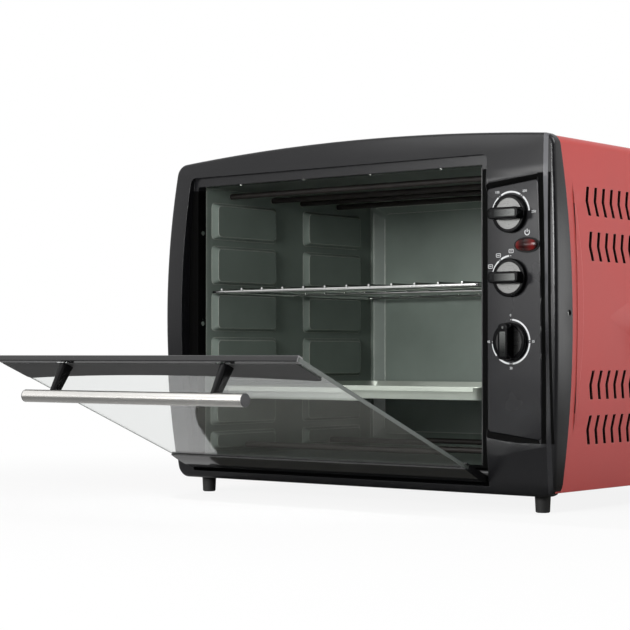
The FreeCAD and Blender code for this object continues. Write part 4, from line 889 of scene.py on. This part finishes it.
@dataclass
class Studio:
    """The plain pale room that the oven is shown in, and the camera.

    Lengths are in millimetres, also the camera's lens and sensor, and its two angles are in degrees.
    """

    eye: tuple[float, float, float] = (1206.69, -1526.38, 140.41)
    azimuth: float = 39.463
    tilt: float = 1.242
    lens: float = 104.106
    sensor: float = 36.0
    clip_end: float = 50.0
    floor_half: float = 6000.0
    floor_paper: str = "#e6e6e6"
    shadow_share: float = 0.12
    shadow_near: float = 350.0
    shadow_far: float = 1100.0
    # Painted shade on the floor as gloss sees it, darkest towards the front
    gloss_floor_shade_front: float = -420.0
    gloss_floor_shade_rear: float = -10.0
    gloss_floor_shade_level: float = 0.12
    gloss_floor_shade_near: float = 0.45
    # A dark card under the oven that paints the oven's shadow into gloss and glass
    card_left: float = -219.0
    card_right: float = 420.0
    card_front: float = -85.0
    card_rear: float = 330.0
    card_corner: float = 60.0
    card_corner_steps: int = 8
    card_lift: float = 0.4
    card_shade_colour: str = "#6e6e6a"
    world_level: float = 0.36
    bright_gloss: float = 0.88
    flag: Flag = Flag((0.635, -0.772, 0.0), 0.6, 0.9, 0.05)
    lamps: tuple[Lamp, ...] = (
        Lamp("cavity_lamp", (80, -1900, 620), (0, 100, 150), 600, 600, 32.0),
        Lamp("panel_lamp", (-330, -700, 900), (220, 0, 260), 400, 400, 1.2),
        Lamp("side_lamp", (850, 60, 1000), (250, 170, 260), 500, 500, 5.2),
        Lamp("front_softbox", (-930, -2210, 470), (250, 0, 200), 560, 440, 7.0),
        Lamp("right_softbox", (1500, 1100, 260), (258, 10, 200), 900, 500, 3.3),
    )

    def build(self, datum: Datum) -> None:
        """Makes the floor, the light and the camera."""
        self.make_world()
        self.make_floor(datum)
        self.make_card(datum)
        for lamp in self.lamps:
            lamp.build(datum)
        self.make_camera(datum)

    def make_world(self) -> None:
        """Lights the room, shows white behind the oven, and dims what gloss picks up from the front."""
        world = bpy.data.worlds.new("studio")
        bpy.context.scene.world = world
        world.use_nodes = True
        nodes = Nodes.of_tree(world.node_tree)
        path = nodes.add("ShaderNodeLightPath")
        seen = nodes.math("MAXIMUM", path.outputs["Is Camera Ray"], path.outputs["Is Transmission Ray"])
        toward = nodes.add("ShaderNodeTexCoord").outputs["Generated"]
        level = nodes.math("MULTIPLY", self.flag.share(nodes, toward), self.bright_gloss)
        lit = nodes.add("ShaderNodeBackground", {"Color": WHITE, "Strength": self.world_level})
        mirrored = nodes.add("ShaderNodeBackground", {"Color": WHITE, "Strength": level})
        shown = nodes.add("ShaderNodeBackground", {"Color": WHITE, "Strength": 1.0})
        glossy = nodes.mix_shaders(path.outputs["Is Glossy Ray"], lit.outputs[0], mirrored.outputs[0])
        nodes.finish_world(nodes.mix_shaders(seen, glossy, shown.outputs[0]))

    def make_floor(self, datum: Datum) -> None:
        """Lays a white floor under the feet, that keeps the oven's shadow and turns white further off. In
        gloss it shows painted shade, darkest towards the front.
        """
        shape = bmesh.new()
        bmesh.ops.create_grid(shape, x_segments=1, y_segments=1, size=self.floor_half * MM)
        nodes = Nodes("white_paper")
        place = nodes.add("ShaderNodeTexCoord").outputs["Object"]
        far = nodes.add("ShaderNodeVectorMath", {0: place}, operation="LENGTH").outputs["Value"]
        share = nodes.spread(far, 1 - self.shadow_share, 1.0, self.shadow_near * MM, self.shadow_far * MM,
                             "SMOOTHSTEP")
        path = nodes.add("ShaderNodeLightPath")
        seen = nodes.math("MAXIMUM", path.outputs["Is Camera Ray"], path.outputs["Is Transmission Ray"])
        seen = nodes.math("MAXIMUM", seen, path.outputs["Is Glossy Ray"])
        _, y, _ = nodes.split(place)
        front = datum.point(0, self.gloss_floor_shade_front, 0).y
        rear = datum.point(0, self.gloss_floor_shade_rear, 0).y
        # Painted shade, seen only in gloss
        gloss_floor_shade = nodes.spread(y, self.gloss_floor_shade_level, self.gloss_floor_shade_near, front, rear)
        mirrored = nodes.math("SUBTRACT", path.outputs["Is Glossy Ray"], path.outputs["Is Transmission Ray"],
                              clamp=True)
        paper = nodes.add("ShaderNodeBsdfDiffuse", {"Color": linear(self.floor_paper)})
        glow = nodes.add("ShaderNodeEmission", {"Strength": nodes.mix_values(mirrored, 1.0, gloss_floor_shade)})
        mixed = nodes.mix_shaders(nodes.math("MULTIPLY", seen, share), paper.outputs[0], glow.outputs[0])
        add_object("studio_floor", shape, nodes.finish(mixed))

    def make_card(self, datum: Datum) -> None:
        """Lays a dark card under the oven as a painted shadow that gloss and glass show; the camera and
        shadows pass it by.
        """
        width = self.card_right - self.card_left
        depth = self.card_rear - self.card_front
        shape = rounded_sheet(width * MM, depth * MM, self.card_corner * MM, self.card_corner_steps)
        middle = datum.point(self.card_left + width / 2, self.card_front + depth / 2, 0)
        bmesh.ops.translate(shape, vec=(middle.x, middle.y, self.card_lift * MM), verts=shape.verts)
        nodes = Nodes("gloss_shadow_card")
        path = nodes.add("ShaderNodeLightPath")
        mirrored = nodes.math("MAXIMUM", path.outputs["Glossy Depth"], path.outputs["Diffuse Depth"])
        bare = nodes.add("ShaderNodeBsdfTransparent")
        black = nodes.add("ShaderNodeBsdfDiffuse", {"Color": linear(self.card_shade_colour)})
        mixed = nodes.mix_shaders(mirrored, bare.outputs[0], black.outputs[0])
        card = add_object("gloss_shadow_card", shape, nodes.finish(mixed))
        card.visible_camera = False
        card.visible_shadow = False

    def make_camera(self, datum: Datum) -> None:
        """Sets the camera where the photograph was taken from."""
        data = bpy.data.cameras.new("camera")
        data.sensor_width = self.sensor
        data.lens = self.lens
        data.clip_end = self.clip_end
        camera = bpy.data.objects.new("camera", data)
        bpy.context.scene.collection.objects.link(camera)
        camera.location = datum.point(*self.eye)
        camera.rotation_euler = Euler((math.radians(90 + self.tilt), 0, math.radians(self.azimuth)))
        bpy.context.scene.camera = camera


def add_arc(shape: Shape, radius: float, width: float, start: float, end: float, step: float = 6.0) -> None:
    """Adds a printed band bent round the middle.

    Args:
        shape: The mesh to add to. The band lies in its XZ plane, with its back at zero.
        radius: The radius at the middle of the band, in millimetres.
        width: The band's width.
        start: Where it starts, in degrees clockwise from the top.
        end: Where it ends.
        step: The most that one straight piece of it turns, in degrees.
    """
    ring = bmesh.new()
    low, high = radius - width / 2, radius + width / 2
    spots = ((0, 0, low), (0, 0, high), (0, -INK_THICK, high), (0, -INK_THICK, low))
    corners = [ring.verts.new(spot) for spot in spots]
    edges = [ring.edges.new((corners[i - 1], corners[i])) for i in range(len(corners))]
    turn = Matrix.Rotation(math.radians(start), 3, "Y")
    bmesh.ops.rotate(ring, cent=(0, 0, 0), matrix=turn, verts=corners)
    steps = max(2, math.ceil(abs(end - start) / step))
    bmesh.ops.spin(ring, geom=corners + edges, cent=(0, 0, 0), axis=(0, 1, 0),
                   angle=math.radians(end - start), steps=steps, use_duplicate=False)
    bmesh.ops.holes_fill(ring, edges=ring.edges[:], sides=len(corners))
    bmesh.ops.recalc_face_normals(ring, faces=ring.faces[:])
    join(shape, ring)


def stand_up(shape: Shape) -> None:
    """Turns a shape that was drawn lying flat up into the panel's plane."""
    turn = Matrix.Rotation(math.radians(90), 3, "X")
    bmesh.ops.rotate(shape, cent=(0, 0, 0), matrix=turn, verts=shape.verts)


def join(shape: Shape, other: Shape, move: Matrix | None = None) -> None:
    """Adds another mesh to a shape and frees it.

    Args:
        shape: The mesh to add to.
        other: The mesh to add.
        move: Its move, if it has one.
    """
    if move is not None:
        bmesh.ops.transform(other, matrix=move, verts=other.verts)
    mesh = bpy.data.meshes.new("joined")
    other.to_mesh(mesh)
    other.free()
    shape.from_mesh(mesh)
    bpy.data.meshes.remove(mesh)


def printed_words(words: str, size: float, weld: float = 0.0001) -> Shape:
    """Sets a few figures as flat closed solids in the XZ plane, their backs at zero.

    Args:
        words: The figures.
        size: The type size in millimetres.
        weld: How close two corners lie when they are one.

    Returns:
        Their mesh, centred on its own middle.
    """
    curve = bpy.data.curves.new("figures", "FONT")
    curve.body = words
    curve.size = size
    curve.extrude = INK_THICK / 2
    curve.resolution_u = 2
    curve.align_x = "CENTER"
    curve.align_y = "CENTER"
    setter = bpy.data.objects.new("figures", curve)
    mesh = bpy.data.meshes.new_from_object(setter)
    figures = bmesh.new()
    figures.from_mesh(mesh)
    bmesh.ops.remove_doubles(figures, verts=figures.verts, dist=weld)
    bmesh.ops.translate(figures, vec=(0, 0, INK_THICK / 2), verts=figures.verts)
    stand_up(figures)
    bpy.data.objects.remove(setter)
    bpy.data.curves.remove(curve)
    bpy.data.meshes.remove(mesh)
    return figures


def clock(radius: float, degrees: float) -> Vector:
    """Gives the point at a radius, this many degrees clockwise from the top."""
    turn = math.radians(degrees)
    return Vector((radius * math.sin(turn), 0, radius * math.cos(turn)))


@dataclass(frozen=True)
class Figure:
    """A number printed beside a dial's ring."""

    words: str
    degrees: float
    radius: float


@dataclass
class DialPrint:
    """The ring, dots, numbers and pictures screen-printed round one knob."""

    shaft: str
    arcs: list[tuple[float, float]]
    upright: bool = False
    dots: list[float] = field(default_factory=list)
    figures: list[Figure] = field(default_factory=list)
    pictures: list[tuple[float, float]] = field(default_factory=list)
    ring_radius: float = 21.9
    ring_width: float = 1.7
    dot_radius: float = 0.55
    dot_sides: int = 10
    figure_size: float = 3.6
    picture_width: float = 5.6
    picture_height: float = 4.0
    picture_round: float = 0.9
    picture_round_steps: int = 3
    picture_line: float = 0.5

    def build(self, paints: Paintshop) -> None:
        """Prints the dial on the control panel."""
        shape = bmesh.new()
        for start, end in self.arcs:
            add_arc(shape, self.ring_radius, self.ring_width, start, end)
        for degrees in self.dots:
            self.add_dot(shape, degrees)
        for figure in self.figures:
            words = printed_words(figure.words, self.figure_size)
            join(shape, words, Matrix.Translation(clock(figure.radius, figure.degrees)))
        for degrees, radius in self.pictures:
            self.add_picture(shape, clock(radius, degrees))
        add_print(self.shaft.replace("shaft", "dial_print"), shape, self.shaft, 0.0, paints)

    def add_dot(self, shape: Shape, degrees: float) -> None:
        """Adds a small round dot on the ring's line."""
        dot = bmesh.new()
        bmesh.ops.create_cone(dot, cap_ends=True, segments=self.dot_sides, radius1=self.dot_radius,
                              radius2=self.dot_radius, depth=INK_THICK)
        stand_up(dot)
        bmesh.ops.translate(dot, vec=(0, -INK_THICK / 2, 0), verts=dot.verts)
        join(shape, dot, Matrix.Translation(clock(self.ring_radius, degrees)))

    def add_picture(self, shape: Shape, middle: Vector) -> None:
        """Adds the outline of an oven with a line for its heater."""
        picture = rounded_sheet(self.picture_width, self.picture_height, self.picture_round,
                                self.picture_round_steps)
        inner = bmesh.ops.inset_region(picture, faces=picture.faces[:], thickness=self.picture_line,
                                       use_boundary=True, use_even_offset=True)
        rim = set(inner["faces"])
        bmesh.ops.delete(picture, geom=[face for face in picture.faces if face not in rim], context="FACES")
        bar = bmesh.ops.create_grid(picture, x_segments=1, y_segments=1, size=0.5)
        bmesh.ops.scale(picture, vec=(self.picture_width / 2, self.picture_line, 1), verts=bar["verts"])
        grown = bmesh.ops.extrude_face_region(picture, geom=picture.faces[:])
        lifted = [item for item in grown["geom"] if isinstance(item, bmesh.types.BMVert)]
        bmesh.ops.translate(picture, vec=(0, 0, INK_THICK), verts=lifted)
        stand_up(picture)
        join(shape, picture, Matrix.Translation(middle))


@dataclass
class PowerMark:
    """The ring and bar printed over the pilot lamp, the common sign for power."""

    above_lamp: float = 12.6
    radius: float = 2.7
    line: float = 0.9
    gap: float = 40.0
    bar_top: float = 3.3
    bar_low: float = 0.3

    def build(self, paints: Paintshop) -> None:
        """Prints the mark on the control panel."""
        shape = bmesh.new()
        add_arc(shape, self.radius, self.line, self.gap, 360 - self.gap)
        bar = bmesh.new()
        bmesh.ops.create_cube(bar, size=1.0)
        bmesh.ops.scale(bar, vec=(self.line, INK_THICK, self.bar_top - self.bar_low), verts=bar.verts)
        middle = (0, -INK_THICK / 2, (self.bar_top + self.bar_low) / 2)
        bmesh.ops.translate(bar, vec=middle, verts=bar.verts)
        join(shape, bar)
        add_print("power_mark", shape, "lamp_bezel", self.above_lamp, paints)


# The angles are in degrees clockwise from the top, and the radii in millimetres from the shaft
DIALS = [
    DialPrint("shaft_temperature", arcs=[(-86, -41), (-31, 31), (41, 84)], dots=[-36, 36],
              figures=[Figure("100", -36, 27.2), Figure("200", 37, 27.4), Figure("250", 88, 27.0)]),
    DialPrint("shaft_mode", arcs=[(-78, -40), (-32, -5)], dots=[-82, -36, 0],
              pictures=[(-64, 27.0), (-33, 27.0), (1, 26.6)]),
    DialPrint("shaft_timer", upright=True, arcs=[(4, 86), (94, 175), (185, 219), (231, 265)],
              dots=[0, 90, 180, 270],
              figures=[Figure("0", -1, 26.2), Figure("15", 90, 26.0), Figure("30", 180, 26.4),
                       Figure("45", 270, 26.6)]),
]


@dataclass
class CarriedNodes:
    """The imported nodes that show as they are, in better finishes.

    The sizes are in millimetres from the edges of the pieces that they are named for.
    """

    seat_behind_front: float = 13.4
    seat_low: float = 11.0
    seat_high: float = 328.0
    bow_height: float = 135.0
    rim_low: float = 133.0
    rim_high: float = 253.0
    recess_beside_panel: float = 7.3
    recess_under_panel: float = 3.2
    recess_over_panel: float = 6.0
    vents_behind_edge: float = 35.0
    flange_depth: float = 9.0

    def build(self, nodes: dict[str, bpy.types.Object], paints: Paintshop) -> None:
        """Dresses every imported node."""
        finishes = {name: finish for finish, names in FINISHED_NODES for name in names.split()}
        finishes["front_frame"] = self.frame_finish()
        finishes["outer_cover"] = self.cover_finish()
        finishes["liner_right_wall"] = self.flanged_finish()
        finishes["lamp_lens"] = self.lens_finish()
        for dial in DIALS:
            face = dial.shaft.replace("shaft", "knob_face")
            finishes[face] = self.foil_finish(face, dial.upright)
        for name, node in nodes.items():
            paints.dress(node, finishes[name])
            LOG.info("node %s in %s", name, finishes[name].name)

    def frame_finish(self) -> Finish:
        """Gives the frame's moulding, with its seat and the panel's recess placed for its painted shade and
        highlight.
        """
        frame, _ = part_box("front_frame")
        panel, panel_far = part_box("control_panel")
        return based_on(
            PanelledPlastic, BLACK_ABS, name="moulded_frame_abs", panel_edge=panel_far.x,
            seat_front=frame.y + self.seat_behind_front * MM, seat_low=frame.z + self.seat_low * MM,
            seat_high=frame.z + self.seat_high * MM, bow_height=frame.z + self.bow_height * MM,
            rim_low=frame.z + self.rim_low * MM, rim_high=frame.z + self.rim_high * MM,
            recess_left=panel.x - self.recess_beside_panel * MM,
            recess_low=panel.z - self.recess_under_panel * MM,
            recess_high=panel_far.z + self.recess_over_panel * MM,
        )

    def cover_finish(self) -> Finish:
        """Gives the cover's paint, with its vents placed for their painted shade."""
        cover, cover_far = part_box("outer_cover")
        return based_on(VentedPaint, RED_PAINT, skin=cover_far.x,
                        vents_from=cover.y + self.vents_behind_edge * MM)

    def flanged_finish(self) -> Finish:
        """Gives the right wall's enamel, with the painted shade on its front flange placed."""
        wall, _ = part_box("liner_right_wall")
        return based_on(FlangedEnamel, LINER_ENAMEL, name="flanged_cavity_enamel",
                        flange_rear=wall.y + self.flange_depth * MM)

    def lens_finish(self) -> Finish:
        """Gives the lamp's styrene, with its painted reds placed."""
        lens, lens_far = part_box("lamp_lens")
        return based_on(PilotLens, RED_STYRENE, left=lens.x, right=lens_far.x)

    def foil_finish(self, face: str, upright: bool) -> Finish:
        """Gives the foil of a knob's face.

        Args:
            face: The face's node.
            upright: Whether the knob's grip bar stands upright. That knob's foil is darkened as painted
                shade.

        Returns:
            The foil, with the grip bar's inlay placed.
        """
        low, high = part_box(face)
        middle = (low + high) / 2
        foil = SHADED_FOIL if upright else SILVER_FOIL
        return based_on(KnobFoil, foil, name=face + "_foil", upright=upright, front=low.y,
                        middle=middle.z if upright else middle.x)


def main() -> None:
    """Builds the oven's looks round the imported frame."""
    logging.basicConfig(level=logging.INFO, format="%(message)s")
    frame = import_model()
    bpy.context.scene.view_settings.view_transform = "Standard"
    datum = Datum.from_frame(FACE_BULGE)
    paints = Paintshop()
    CarriedNodes().build(frame["nodes"], paints)
    for dial in DIALS:
        dial.build(paints)
    PowerMark().build(paints)
    Studio().build(datum)


if __name__ == "__main__":
    main()
